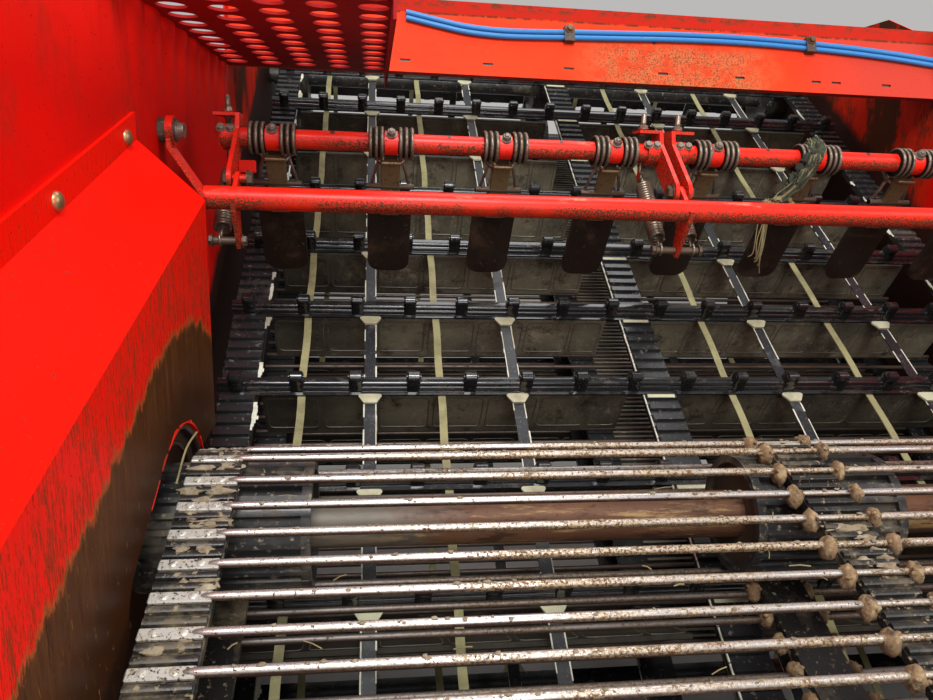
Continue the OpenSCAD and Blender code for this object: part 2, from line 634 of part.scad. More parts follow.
// Tension springs between the brackets' eyebolts and the lugs' cross pins
spring_coil_r = 14.5;
spring_reach = norm(eye_at - spring_foot);
module tension_spring(x) {
    lean = atan2(eye_at[0] - spring_foot[0], eye_at[1] - spring_foot[1]);
    n = floor((spring_reach - 50) / 5);
    translate([x, spring_foot[0], spring_foot[1]]) rotate([-lean, 0, 0]) {
        translate([0, 0, 25]) rotate_extrude($fn = 32) polygon(concat([[0, 0]],
            [for (k = [0:n - 1]) each [[spring_coil_r, k * 5], [spring_coil_r + 2.6, (k + 0.5) * 5]]],
            [[spring_coil_r, n * 5], [0, n * 5]]));
        translate([0, 0, spring_pin_r + seat]) cylinder(h = 20, r = 4, $fn = 24);
        translate([0, 0, spring_reach - 30]) cylinder(h = 30 - 9 - seat, r = 4, $fn = 24);
    }
}
spring_xs_left = [for (x = left_plates) x + bracket_t - flange_w / 2 - bracket_t / 2];
spring_xs_right = [for (x = right_plates) x + flange_w / 2 + bracket_t / 2];
module comb_springs_left() color("gray") for (x = spring_xs_left) tension_spring(x);
module comb_springs_right() color("gray") for (x = spring_xs_right) tension_spring(x);

// One finger: a strap round the tube, a cross pin and a rubber paddle
strap_t = 8;
paddle_from = 140;
strap_end = 178;
module finger(i) translate([finger_xs[i], upper_at[0], upper_at[1]]) rotate([finger_tilt, 0, 0]) {
    color("saddlebrown") difference() {
        union() {
            translate([-hub_w / 2, 0, 0]) rotate([0, 90, 0]) cylinder(h = hub_w, r = tube_r + 5);
            translate([-hub_w / 2, -strap_t / 2, -40]) cube([hub_w, strap_t, 30]);
            translate([-strap_w / 2, -strap_t / 2, -strap_end])
                cube([strap_w, strap_t, strap_end - 37]);
            translate([-strap_w / 2, -16, -43]) cube([strap_w, 16 + strap_t / 2, 6]);
            translate([-50, 0, -105]) rotate([0, 90, 0]) cylinder(h = 100, r = 6, $fn = 24);
        }
        translate([-hub_w, 0, 0]) rotate([0, 90, 0]) cylinder(h = 2 * hub_w, r = tube_r + run_gap);
    }
    color([0.1, 0.1, 0.1]) translate([0, strap_t / 2 + paddle_t, 0]) rotate([90, 0, 0])
        linear_extrude(paddle_t) paddle_shape();
}
module paddle_shape() {
    r = 30;
    for (side = [-1, 1]) translate([side * (paddle_w / 2 - r), r - finger_len]) circle(r = r);
    translate([r - paddle_w / 2, -finger_len]) square([paddle_w - 2 * r, r]);
    polygon([[-paddle_w / 2, r - finger_len], [paddle_w / 2, r - finger_len],
        [paddle_w / 2, -paddle_from - 30], [strap_w / 2 + 6, -paddle_from],
        [-strap_w / 2 - 6, -paddle_from], [-paddle_w / 2, -paddle_from - 30]]);
}
module finger_1() finger(0);
module finger_2() finger(1);
module finger_3() finger(2);
module finger_4() finger(3);
module finger_5() finger(4);
module finger_6() finger(5);
module finger_7() finger(6);
module finger_8() finger(7);

wall_left();
wall_right();
rail_left();
rail_right();
cross_tubes();
shroud_left();
shroud_right();
cross_beam();
guard();
hoses();
hose_clips();
sieve_belts();
sieve_web_rods();
sieve_drum_rear();
sieve_drum_front();
haulm_belts();
haulm_bars();
haulm_strips();
haulm_drum_upper();
haulm_drum_lower();
lift_belts();
lift_rods();
lift_flights();
lift_drum_upper();
lift_drum_lower();
bearings_left();
bearings_right();
comb_pivots();
comb_frame();
comb_springs_left();
comb_springs_right();
half_bar_left();
half_bar_right();
finger_1();
finger_2();
finger_3();
finger_4();
finger_5();
finger_6();
finger_7();
finger_8();
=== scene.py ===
"""Looks of the potato harvester web section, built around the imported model. Metres."""
import random
from math import cos, pi, radians, sin, tan

import bmesh
import bpy
from mathutils import Matrix, Vector, noise


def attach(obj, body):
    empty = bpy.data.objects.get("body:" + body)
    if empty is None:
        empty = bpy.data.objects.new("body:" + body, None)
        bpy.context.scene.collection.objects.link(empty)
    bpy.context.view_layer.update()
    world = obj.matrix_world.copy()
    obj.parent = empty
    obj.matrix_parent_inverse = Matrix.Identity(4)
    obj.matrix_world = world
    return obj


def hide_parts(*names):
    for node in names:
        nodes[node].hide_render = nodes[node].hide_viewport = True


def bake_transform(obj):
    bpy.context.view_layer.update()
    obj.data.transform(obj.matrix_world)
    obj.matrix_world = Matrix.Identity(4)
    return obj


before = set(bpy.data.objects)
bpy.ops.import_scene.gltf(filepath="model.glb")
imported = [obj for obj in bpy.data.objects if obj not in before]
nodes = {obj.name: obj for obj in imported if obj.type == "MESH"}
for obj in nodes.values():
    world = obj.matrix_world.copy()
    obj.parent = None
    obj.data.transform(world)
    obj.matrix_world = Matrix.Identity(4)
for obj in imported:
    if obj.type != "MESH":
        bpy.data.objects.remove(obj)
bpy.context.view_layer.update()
rng = random.Random(7)
pick = rng.uniform


def vec(x, y, z):
    return Vector((x, y, z))


# Sizes that the frame does not give, as in the part's source
FRONT, WALL_X = -1.425, 1.0
SIEVE_PITCH, SIEVE_R, SIEVE_RODS, SIEVE_PHASE, SIEVE_SLOPE, SIEVE_DRUM_R = 0.05, 0.112, 38, 0.025, 20, 0.0965
HAULM_PITCH, HAULM_R, HAULM_SIDE, HAULM_BARS, HAULM_PHASE, HAULM_SLOPE = 0.235, 0.118, 0.224, 25, 0.055, 33.5
LIFT_R, LIFT_FLIGHTS, LIFT_SET_IN = 0.07, 16, 0.352
SIEVE_BELTS, HAULM_BELTS, LIFT_BELTS = (-0.854, 0.048, 0.854), (-0.907, 0.004, 0.915), (-0.85, -0.095, 0.85)
COMB_X, FINGER_PITCH, FINGER_OFF, FINGER_TILT, TUBE_R = -0.02, 0.232, 0.11, 35, 0.019
UPPER, LOWER = vec(0, -0.2375, 1.405), vec(0, -0.3829, 1.2922)
PIVOT = vec(0, -0.33864, 1.32655)
FOOT, EYE = LOWER + vec(0, 0.033, -0.08), UPPER + vec(0, 0.0345, -0.049)
BEAM_FOOT, BEAM_LEAN = vec(0, FRONT + 1.69, 1.608), 20

# Turns of a lathe's X axis: up, and to the front
TO_TOP = Matrix.Rotation(-pi / 2, 4, "Y")
TO_FRONT = Matrix.Rotation(-pi / 2, 4, "Z")


def outward(side):
    """Keeps the X axis for side 1 and turns it round for side -1."""
    return Matrix.Rotation(0 if side > 0 else pi, 4, "Z")


def rot_x(degrees):
    return Matrix.Rotation(radians(degrees), 4, "X")


def move(x, y, z):
    return Matrix.Translation((x, y, z))


def cos_sin(degrees):
    return cos(radians(degrees)), sin(radians(degrees))


class Web:
    """A loop round drums: at gives the upper rear drum's axis in the side view."""

    def __init__(self, at, slope, total, side, r):
        self.at, self.slope, self.side, self.r, self.total = at, slope, side, r, total
        self.run = (total - 2 * pi * r) / 2 - side

    def spot(self, s):
        """Four straights, each with a quarter turn after it; gives u, v and the turn."""
        s %= self.total
        quarter = pi * self.r / 2
        for k, (u, v) in enumerate(((0, 0), (0, -self.side), (-self.run, -self.side), (-self.run, 0))):
            length = (self.run, self.side)[k % 2]
            if s <= length + quarter or k == 3:
                turn = 90 * k + max(0.0, s - length) / self.r * 180 / pi
                left, (c, n) = max(0.0, length - s), cos_sin(turn)
                return u + self.r * n - left * c, v + self.r * c + left * n, -turn
            s -= length + quarter

    def place(self, s):
        u, v, turn = self.spot(s)
        return move(0, *self.at) @ rot_x(self.slope) @ move(0, u, v) @ rot_x(turn)

    def beside(self, u, v):
        """A place in the side view: u along the web from its rear axis, v up from it."""
        c, s = cos_sin(self.slope)
        return (self.at[0] + u * c - v * s, self.at[1] + u * s + v * c)


sieve = Web((FRONT + 0.705, 0.814), SIEVE_SLOPE, SIEVE_RODS * SIEVE_PITCH, 0, SIEVE_R)
haulm = Web((FRONT + 2.5415, 1.684), HAULM_SLOPE, HAULM_BARS * HAULM_PITCH, HAULM_SIDE, HAULM_R)
lift = Web(haulm.beside(-LIFT_SET_IN, -HAULM_SIDE / 2), HAULM_SLOPE, LIFT_FLIGHTS * HAULM_PITCH, 0, LIFT_R)
LIFT_PHASE = (HAULM_PHASE - haulm.run + LIFT_SET_IN + lift.run) % HAULM_PITCH


# Mesh building

def rect(a0, a1, b0, b1):
    return [(a0, b0), (a1, b0), (a1, b1), (a0, b1)]


def wedge(low, high, z0, z1):
    """An outline that is twice low wide at z0 and twice high wide at z1."""
    return [(-low, z0), (low, z0), (high, z1), (-high, z1)]


def circle(n, r=1):
    return [(r * cos(2 * pi * k / n), r * sin(2 * pi * k / n)) for k in range(n)]


def bend(points, steps=6):
    """A smooth curve through points."""
    pts = [Vector(p) for p in points]
    out = []
    for i in range(len(pts) - 1):
        a, b, c, d = pts[max(i - 1, 0)], pts[i], pts[i + 1], pts[min(i + 2, len(pts) - 1)]
        for j in range(steps):
            t = j / steps
            out.append(0.5 * (2 * b + (c - a) * t + (2 * a - 5 * b + 4 * c - d) * t * t
                              + (3 * b - a - 3 * c + d) * t ** 3))
    return out + [pts[-1]]


def put(name, data):
    obj = bpy.data.objects.new(name, data)
    bpy.context.scene.collection.objects.link(obj)
    return obj


class Shape:
    """Collects closed shells into one mesh."""

    def __init__(self):
        self.verts, self.faces = [], []

    def add(self, verts, faces, m=None):
        base = len(self.verts)
        self.verts += [(m @ Vector(v)) if m else Vector(v) for v in verts]
        self.faces += [tuple(base + i for i in f) for f in faces]

    def skin(self, verts, n, m=None, loop=False):
        """Joins rows of n points, and closes both ends or, in a loop, the last row to the first."""
        rows = len(verts) // n
        faces = [] if loop else [tuple(range(n)), tuple(range((rows - 1) * n, rows * n))]
        for k in range(rows if loop else rows - 1):
            a, b = k * n, (k + 1) % rows * n
            faces += [(a + i, a + (i + 1) % n, b + (i + 1) % n, b + i) for i in range(n)]
        self.add(verts, faces, m)

    def sections(self, parts, m=None):
        """parts: (x, outline) pairs; each outline is a list of (y, z), all of one length."""
        self.skin([(x, y, z) for x, outline in parts for y, z in outline], len(parts[0][1]), m)

    def prism(self, x0, x1, outline, m=None):
        self.sections([(x0, outline), (x1, outline)], m)

    def lens(self, x, out, into, rim, middle, m):
        """A bar centred on x: the middle's outline as far as into, then down to the rim's at out."""
        self.sections([(x - out, rim), (x - into, middle), (x + into, middle), (x + out, rim)], m)

    def box(self, lo, hi, m=None, chamfer=0.0):
        (x0, y0, z0), (x1, y1, z1) = lo, hi
        c = chamfer
        if not c:
            return self.prism(x0, x1, rect(y0, y1, z0, z1), m)
        eight = [(y0 + c, z0), (y1 - c, z0), (y1, z0 + c), (y1, z1 - c),
                 (y1 - c, z1), (y0 + c, z1), (y0, z1 - c), (y0, z0 + c)]
        inner = [(min(max(y, y0 + c), y1 - c), min(max(z, z0 + c), z1 - c)) for y, z in eight]
        self.sections([(x0, inner), (x0 + c, eight), (x1 - c, eight), (x1, inner)], m)

    def lathe(self, profile, m=None, sides=24, loop=False):
        """profile: (x, radius) pairs along the X axis."""
        self.skin([(x, r * c, r * s) for x, r in profile for c, s in circle(sides)], sides, m, loop)

    def link(self, web, s, length, outline):
        """A short bar along a web from s on; outline is a list of (x, z)."""
        self.skin([web.place(at) @ vec(x, 0, z) for at in (s, s + length) for x, z in outline], len(outline))

    def tube(self, points, r, sides=8, m=None):
        """A round bar swept along points."""
        pts = [Vector(p) for p in points]
        verts, side = [], None
        for i, p in enumerate(pts):
            d = (pts[min(i + 1, len(pts) - 1)] - pts[max(i - 1, 0)]).normalized()
            side = side or d.orthogonal().normalized()
            side = (side - d * side.dot(d)).normalized()
            other = d.cross(side)
            verts += [p + r * (c * side + s * other) for c, s in circle(sides)]
        self.skin(verts, sides, m)

    def ball(self, centre, size, lumps, seed, rings):
        """A lumpy ball; size gives its three radii."""
        w, verts, faces = 2 * rings, [], []
        for i in range(1, rings):
            for k in range(w):
                a, b = pi * i / rings, pi * k / rings
                verts.append(vec(sin(a) * cos(b), sin(a) * sin(b), cos(a)))
        verts += [vec(0, 0, 1), vec(0, 0, -1)]
        top, low = len(verts) - 2, len(verts) - 1
        for k in range(w):
            j = (k + 1) % w
            faces += [(top, k, j), (low, (rings - 2) * w + j, (rings - 2) * w + k)]
            faces += [(i * w + k, (i + 1) * w + k, (i + 1) * w + j, i * w + j) for i in range(rings - 2)]
        out = []
        for d in verts:
            grow = 1 + lumps * noise.noise(d * 2.2 + vec(seed * 3.1, seed * 1.7, 0))
            out.append(Vector(centre) + vec(d.x * size[0], d.y * size[1], d.z * size[2]) * grow)
        self.add(out, faces)

    def bolt_head(self, m, r=0.0095, h=0.0075):
        """A hexagon head on a washer; the matrix's X axis points out of it."""
        self.lathe([(0, r * 1.25), (0.0015, r * 1.25)], m, 16)
        self.sections([(0.0015, circle(6, r)), (0.0015 + h * 0.8, circle(6, r)),
                       (0.0015 + h, circle(6, r * 0.86))], m)

    def make(self, name, material, slot=None, body="root", hides=(), smooth=35):
        mesh = bpy.data.meshes.new(name)
        mesh.from_pydata(self.verts, [], self.faces)
        bm = bmesh.new()
        bm.from_mesh(mesh)
        bmesh.ops.recalc_face_normals(bm, faces=bm.faces)
        bm.to_mesh(mesh)
        bm.free()
        obj = put(name, mesh)
        mesh.materials.append(material)
        mesh.shade_smooth()
        mesh.set_sharp_from_angle(angle=radians(smooth))
        if body:
            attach(obj, body)
        if hides:
            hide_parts(*hides)
        return obj


def shapes(n):
    return (Shape() for _ in range(n))


# Materials

class Look:
    """A node material with short calls for the patterns that the finishes share."""

    def __init__(self, name, base, rough=0.5, metal=0.0, **sockets):
        self.mat = bpy.data.materials.new(name)
        self.mat.use_nodes = True
        self.tree = self.mat.node_tree
        self.bsdf = self.tree.nodes["Principled BSDF"]
        self.coord = self.node("TexCoord").outputs["Object"]
        self.color, self.rough = base, rough
        self.bsdf.inputs["Metallic"].default_value = metal
        for key, value in sockets.items():
            self.bsdf.inputs[key.replace("_", " ")].default_value = value

    def node(self, kind, inputs=(), **values):
        """A new node; inputs holds (socket, value) pairs."""
        n = self.tree.nodes.new("ShaderNode" + kind)
        for key, value in values.items():
            setattr(n, key, value)
        for key, value in inputs:
            self.plug(n.inputs[key], value)
        return n

    def plug(self, socket, value):
        if isinstance(value, bpy.types.NodeSocket):
            self.tree.links.new(value, socket)
        elif isinstance(value, tuple) and len(socket.default_value) == 4:
            socket.default_value = (*value, 1.0)
        else:
            socket.default_value = value

    def noise(self, scale, detail=5, rough=0.6, stretch=(1, 1, 1), shift=0.0):
        mapping = self.node("Mapping", (("Vector", self.coord), ("Scale", stretch),
                                        ("Location", (shift, shift * 1.3, shift * 0.7))))
        return self.node("TexNoise", (("Vector", mapping.outputs["Vector"]), ("Scale", scale),
                                      ("Detail", detail), ("Roughness", rough))).outputs["Fac"]

    def math(self, op, a, b=0.0):
        return self.node("Math", ((0, a), (1, b)), operation=op).outputs[0]

    def add(self, a, b):
        return self.math("ADD", a, b)

    def sub(self, a, b):
        return self.math("SUBTRACT", a, b)

    def mul(self, a, b):
        return self.math("MULTIPLY", a, b)

    def step(self, value, low, high, to_low=0.0, to_high=1.0):
        return self.node("MapRange", enumerate((value, low, high, to_low, to_high)),
                         interpolation_type="SMOOTHSTEP").outputs[0]

    def spots(self, low, high, *pattern, **more):
        """A noise pattern cut off between low and high."""
        return self.step(self.noise(*pattern, **more), low, high)

    def axis(self, k):
        return self.node("SeparateXYZ", ((0, self.coord),)).outputs[k]

    def facing(self, k):
        normal = self.node("NewGeometry").outputs["Normal"]
        return self.node("SeparateXYZ", ((0, normal),)).outputs[k]

    def length(self, a, b):
        """The root of a plus b squared."""
        return self.math("SQRT", self.add(a, self.mul(b, b)))

    def away(self, at):
        """Distance from an axis across the machine."""
        y, z = self.sub(self.axis(1), at[0]), self.sub(self.axis(2), at[1])
        return self.length(self.mul(y, y), z)

    def over(self, mask, color, rough, within=None):
        """Lays a colour and a roughness over what is there, where the mask, and within, are 1."""
        if within is not None:
            mask = self.mul(mask, within)
        self.color = self.node("Mix", (("Factor", mask), (6, self.color), (7, color)),
                               data_type="RGBA").outputs[2]
        self.rough = self.node("Mix", (("Factor", mask), (2, self.rough), (3, rough)),
                               data_type="FLOAT").outputs[0]

    def done(self, height, strength, distance):
        bump = self.node("Bump", (("Strength", strength), ("Distance", distance), ("Height", height)))
        for key, value in (("Base Color", self.color), ("Roughness", self.rough),
                           ("Normal", bump.outputs["Normal"])):
            self.plug(self.bsdf.inputs[key], value)
        return self.mat


def layered(name, base, rough, metal, layers, grain, **sockets):
    """A finish in layers: low, high, (noise pattern), colour, roughness.

    Grain: the noise's scale, its detail, and the bump's strength and depth."""
    k = Look(name, base, rough, metal, **sockets)
    for low, high, pattern, color, film in layers:
        k.over(k.spots(low, high, *pattern), color, film)
    return k.done(k.noise(*grain[:-2]), *grain[-2:])


def red_paint(name="red_paint", base=(0.68, 0.01, 0.004), dirt=0.0, specks=0.5):
    return layered(name, base, 0.45, 0.0, (
        (0.35, 0.75, (2.2, 6), tuple(c * 0.78 for c in base), 0.55),
        (0.62 - dirt, 0.8 - dirt, (7, 8, 0.7, (1, 1, 1), 3), (0.16, 0.035, 0.015), 0.75),
        (0.7 - 0.06 * specks, 0.76 - 0.05 * specks, (160, 2, 0.5), (0.1, 0.035, 0.02), 0.8)),
        (30, 4, 0.12, 0.002), Specular_IOR_Level=0.12)


def wall_paint():
    """Bright red in the channel, painted brighter near the top as painted light; dull and brown behind the
    beam and beside the webs.
    """
    k = Look("wall_paint", (0.72, 0.003, 0.001), 0.5, Specular_IOR_Level=0.08)
    k.over(k.spots(0.4, 0.72, 1.6, 6, 0.6, (1, 0.6, 1.5)), (0.56, 0.003, 0.001), 0.5)
    k.over(k.spots(0.66, 0.82, 26, 6, 0.75, (1, 2.5, 0.5)), (0.34, 0.03, 0.01), 0.7)
    # Painted light: above z 1.4 the wall is painted brighter, for the light that falls there; darker vertical
    # streaks lie in this band.
    high = k.step(k.axis(2), 1.4, 1.58)
    k.over(high, (0.88, 0.01, 0.005), 0.5)
    k.over(k.spots(0.55, 0.8, 30, 6, 0.7, (1, 1, 0.12)), (0.42, 0.02, 0.01), 0.6, high)
    k.over(k.spots(0.7, 0.74, 210, 2, 0.4), (0.12, 0.02, 0.01), 0.8)
    inward = k.step(k.mul(k.facing(0), k.axis(0)), -0.3, -0.7)
    rear = k.mul(k.step(k.axis(1), 0.24, 0.3), inward)
    k.over(k.spots(0.52, 0.72, 3.5, 8, 0.7, (1, 1, 0.5), 5), (0.2, 0.02, 0.008), 0.6, 0.8)
    k.over(rear, (0.56, 0.016, 0.004), 0.6)
    k.over(k.spots(0.43, 0.54, 5, 9, 0.75, (1, 1, 0.35)), (0.07, 0.018, 0.007), 0.75, rear)
    beside_sieve = k.mul(k.step(k.axis(2), 1.03, 0.96), k.step(k.axis(1), 0.0, -0.2))
    k.over(beside_sieve, (0.045, 0.018, 0.011), 0.7, inward)
    c, s = cos_sin(HAULM_SLOPE)
    up = k.sub(k.mul(k.axis(2), c), k.mul(k.axis(1), s))
    up = k.add(up, k.mul(k.noise(18, 8, 0.8, (1, 1, 1), 2), -0.06))
    web = haulm.at[1] * c - haulm.at[0] * s
    beside_haulm = k.mul(k.step(up, web + 0.125, web + 0.085), k.step(k.axis(1), -0.62, -0.56))
    k.over(beside_haulm, (0.03, 0.01, 0.007), 0.65, inward)
    k.over(k.spots(0.35, 0.65, 6, 8, 0.7), (0.13, 0.085, 0.045), 0.85, k.step(k.axis(2), 0.75, 0.25))
    return k.done(k.noise(12, 4), 0.1, 0.004)


def shroud_paint():
    """Painted brighter on the ledge than on the upright face, as painted light and shade; the upright face is
    scratched, and worn brown round the sieving web.
    """
    k = Look("shroud_paint", (0.86, 0.006, 0.001), 0.45, Specular_IOR_Level=0.07)
    k.over(k.spots(0.45, 0.8, 2.5, 6), (0.76, 0.005, 0.001), 0.5)
    upright = k.step(k.math("ABSOLUTE", k.facing(0)), 0.85, 0.97)
    y, z = k.sub(k.axis(1), sieve.at[0]), k.sub(k.axis(2), sieve.at[1])
    c, s = cos_sin(SIEVE_SLOPE)
    along, up = k.add(k.mul(y, c), k.mul(z, s)), k.sub(k.mul(z, c), k.mul(y, s))
    behind = k.math("MAXIMUM", along, 0.0)
    gap = k.length(k.mul(behind, k.mul(behind, 0.65)), up)
    ragged = k.add(gap, k.mul(k.sub(k.noise(24, 10, 0.85, (1, 1.6, 0.5)), 0.5), 0.11))
    worn, fringe = (k.mul(upright, k.step(ragged, low, high))
                    for low, high in ((0.291, 0.281), (0.2965, 0.2885)))
    # Painted shade: the upright face is painted a darker red than the ledge.
    k.over(upright, (0.78, 0.006, 0.001), 0.4)
    fine, broad = k.noise(95, 7, 0.85, (1, 2.4, 0.3), 3), k.noise(9, 5, 0.7, (1, 1.5, 0.6), 8)
    wear = k.add(k.mul(k.step(gap, 0.62, 0.3), 0.1), k.mul(broad, 0.16))
    k.over(k.step(k.add(fine, wear), 0.675, 0.735), (0.26, 0.028, 0.008), 0.6, upright)
    k.over(k.spots(0.64, 0.67, 150, 3, 0.8, (1, 2.2, 0.22), 6), (0.07, 0.016, 0.006), 0.7, upright)
    k.over(fringe, (0.34, 0.085, 0.018), 0.5)
    k.over(worn, (0.068, 0.021, 0.005), 0.42)
    k.over(k.spots(0.47, 0.68, 40, 9, 0.85, (1, 1.6, 0.16)), (0.125, 0.048, 0.013), 0.45, worn)
    k.over(k.spots(0.52, 0.64, 60, 8, 0.85, (1, 1.6, 0.18), 4), (0.04, 0.012, 0.004), 0.5, worn)
    k.over(k.step(gap, 0.245, 0.165), (0.036, 0.012, 0.004), 0.45, worn)
    k.over(k.spots(0.65, 0.7, 150, 3, 0.7, (1, 1.4, 0.3)), (0.2, 0.1, 0.035), 0.6, worn)
    k.over(k.spots(0.71, 0.75, 190, 2, 0.4), (0.16, 0.02, 0.01), 0.8)
    return k.done(k.noise(60, 6, 0.75, (1, 1.5, 0.25)), 0.12, 0.0015)


def tube_paint():
    """Bright red, with pitted undersides and a painted pink highlight on the tops; the coils on the upper
    tube are steel, with painted shade between their turns.
    """
    k = Look("tube_paint", (0.8, 0.014, 0.003), 0.32, Specular_IOR_Level=0.3)
    k.over(k.spots(0.5, 0.75, 9, 6), (0.68, 0.012, 0.003), 0.42)
    low = k.step(k.facing(2), 0.45, -0.35)
    k.over(k.spots(0.36, 0.66, 45, 6, 0.8), (0.5, 0.038, 0.008), 0.5, low)
    spots = k.step(k.add(k.noise(310, 5, 0.75), k.mul(low, 0.15)), 0.595, 0.645)
    k.over(k.spots(0.32, 0.5, 5, 5, 0.6, shift=5), (0.085, 0.028, 0.011), 0.75, spots)
    # Painted highlight: pale pink streaks on the faces that point up.
    top = k.step(k.facing(2), 0.3, 0.9)
    k.over(k.spots(0.6, 0.72, 14, 6, 0.7, (0.4, 1, 1), 2), (0.7, 0.26, 0.16), 0.45, top)
    near = []
    for off, start, end in ((-FINGER_OFF, -0.01, 0.01), (FINGER_OFF, 0.01, -0.01)):
        finger = k.math("PINGPONG", k.sub(k.axis(0), COMB_X + off), FINGER_PITCH / 2)
        near.append(k.add(finger, k.step(k.axis(0), COMB_X + start, COMB_X + end)))
    near = k.math("MINIMUM", *near)
    r = k.away((UPPER.y, UPPER.z))
    coil = k.mul(k.step(near, 0.0475, 0.047), k.step(r, 0.0196, 0.02))
    coil = k.mul(coil, k.mul(k.step(r, 0.034, 0.033), k.step(near, 0.013, 0.0138)))
    k.over(coil, (0.2, 0.158, 0.118), 0.34)
    k.over(k.spots(0.52, 0.62, 130, 4, 0.7), (0.13, 0.065, 0.03), 0.6, coil)
    # Painted shade: the coils' inner faces, in the gaps between their turns, are painted nearly black.
    k.over(k.step(r, 0.03, 0.0288), (0.012, 0.009, 0.008), 0.8, coil)
    k.plug(k.bsdf.inputs["Metallic"], k.mul(coil, 0.6))
    return k.done(k.noise(140, 4, 0.7), 0.25, 0.0008)


def finger_paint():
    """Red hub on the tube, dark rubber below it."""
    k = Look("finger_paint", (0.016, 0.009, 0.006), 0.42, Specular_IOR_Level=0.4)
    k.over(k.spots(0.5, 0.72, 9, 8, 0.7), (0.055, 0.028, 0.014), 0.8)
    k.over(k.spots(0.62, 0.7, 110, 4, 0.7), (0.1, 0.065, 0.04), 0.85)
    hub = k.step(k.away((UPPER.y, UPPER.z)), 0.0252, 0.0246)
    k.over(hub, (0.78, 0.015, 0.004), 0.4)
    k.over(k.spots(0.56, 0.64, 90, 4, 0.7, shift=2), (0.12, 0.03, 0.015), 0.7, hub)
    return k.done(k.noise(90, 4), 0.2, 0.0008)


def rod_steel():
    """Polished on top; purple brown underneath, as rust and as painted shade; painted darker on the lower
    run, as the shade under the upper run; with cream and rust specks.
    """
    k = Look("rod_steel", (0.59, 0.555, 0.535), 0.25, 0.85)
    # Rust and painted shade: the faces that point down are dark purple brown.
    k.over(k.step(k.facing(2), 0.45, -0.1), (0.085, 0.042, 0.032), 0.55)
    cover = k.mul(k.spots(0.36, 0.58, 9, 5, 0.65, (0.35, 1, 1)), k.step(k.axis(0), -0.7, -0.42, 0.25))
    k.over(k.spots(0.44, 0.52, 290, 4, 0.75), (0.46, 0.36, 0.22), 0.7, cover)
    k.over(k.spots(0.5, 0.56, 230, 5, 0.75, shift=7), (0.16, 0.075, 0.03), 0.75, cover)
    k.over(k.spots(0.58, 0.65, 170, 4, 0.7, shift=4), (0.12, 0.06, 0.03), 0.8)
    # Painted shade: rods below the web's middle plane, on the lower run, are painted darker.
    lean = tan(radians(SIEVE_SLOPE))
    up = k.sub(k.axis(2), k.mul(k.axis(1), lean))
    middle = sieve.at[1] - sieve.at[0] * lean
    k.over(k.step(up, middle + 0.03, middle - 0.03), (0.06, 0.042, 0.032), 0.5, 0.8)
    return k.done(k.noise(260, 3), 0.3, 0.0006)


def rubber(name, base, rough=0.42, dust=0.3, dust_color=(0.11, 0.09, 0.055), scale=1.0):
    """Dark rubber with dust; a higher dust covers more of it."""
    return layered(name, base, rough, 0.0, (
        (0.66 - 0.3 * dust, 0.86 - 0.3 * dust, (9 * scale, 8, 0.7), dust_color, 0.85),
        (0.64 - 0.1 * dust, 0.72 - 0.1 * dust, (90 * scale, 4, 0.7, (1, 1, 1), 6),
         tuple(min(1, c * 1.7) for c in dust_color), 0.9)), (120, 4, 0.2, 0.0008))


def flight_grey():
    """Dark panels under a brown and olive film of dried soil; painted darker towards the left wall, at the
    top and low down, as painted shade.
    """
    k = Look("flight_grey", (0.105, 0.094, 0.07), 0.5, Specular_IOR_Level=0.3)
    k.over(k.spots(0.36, 0.64, 3.2, 6, 0.6), (0.225, 0.198, 0.134), 0.7)
    k.over(k.spots(0.5, 0.68, 24, 9, 0.85, (1, 1, 0.4)), (0.37, 0.32, 0.205), 0.8)
    k.over(k.spots(0.5, 0.64, 15, 9, 0.85, shift=9), (0.042, 0.032, 0.02), 0.6)
    k.over(k.spots(0.63, 0.68, 200, 3, 0.6), (0.32, 0.28, 0.18), 0.9)
    # Painted shade: darker towards the left wall, and at the top under the beams.
    side, top = k.mul(k.step(k.axis(0), -0.5, -0.82), 0.6), k.mul(k.step(k.axis(2), 1.36, 1.58), 0.75)
    k.over(k.math("MAXIMUM", side, top), (0.03, 0.021, 0.015), 0.5)
    # Painted shade: flights low down, on the lower run, are painted nearly black.
    k.over(k.step(k.axis(2), 0.86, 0.7), (0.016, 0.012, 0.008), 0.6, 0.88)
    return k.done(k.noise(45, 6, 0.7), 0.15, 0.001)


def strip_cloth(name, base, dark):
    k = Look(name, base, 0.75)
    k.over(k.spots(0.4, 0.7, 12, 6, 0.7), dark, 0.85)
    weave = k.node("TexWave", (("Scale", 160), ("Vector", k.coord)), wave_type="BANDS", bands_direction="Z")
    return k.done(weave.outputs["Fac"], 0.3, 0.0005)


def rusty(name, base, light, stain=False):
    k = Look(name, base, 0.6, 0.2)
    k.over(k.spots(0.45, 0.75, 7, 7, 0.7, (0.3, 1, 1)), light, 0.7)
    k.over(k.spots(0.6, 0.68, 130, 4, 0.7), (0.055, 0.025, 0.015), 0.85)
    if stain:
        k.over(k.spots(0.5, 0.62, 26, 8, 0.8, (0.12, 1, 1), 3), (0.34, 0.215, 0.085), 0.65)
        k.over(k.spots(0.53, 0.62, 60, 6, 0.75, (0.2, 1, 1), 8), (0.05, 0.02, 0.009), 0.7)
        left = k.add(k.axis(0), k.mul(k.noise(20, 8, 0.8, shift=2), 0.5))
        k.over(k.step(left, -0.22, -0.4), (0.125, 0.12, 0.096), 0.5, 0.75)
    return k.done(k.noise(90, 5), 0.25, 0.0008)


def plain_steel(name, base, rough, metal, dirt=0.4):
    return layered(name, base, rough, metal, (
        (0.62 - 0.2 * dirt, 0.8 - 0.2 * dirt, (70, 5, 0.7), (0.1, 0.065, 0.04), 0.8),), (120, 3, 0.2, 0.0006))


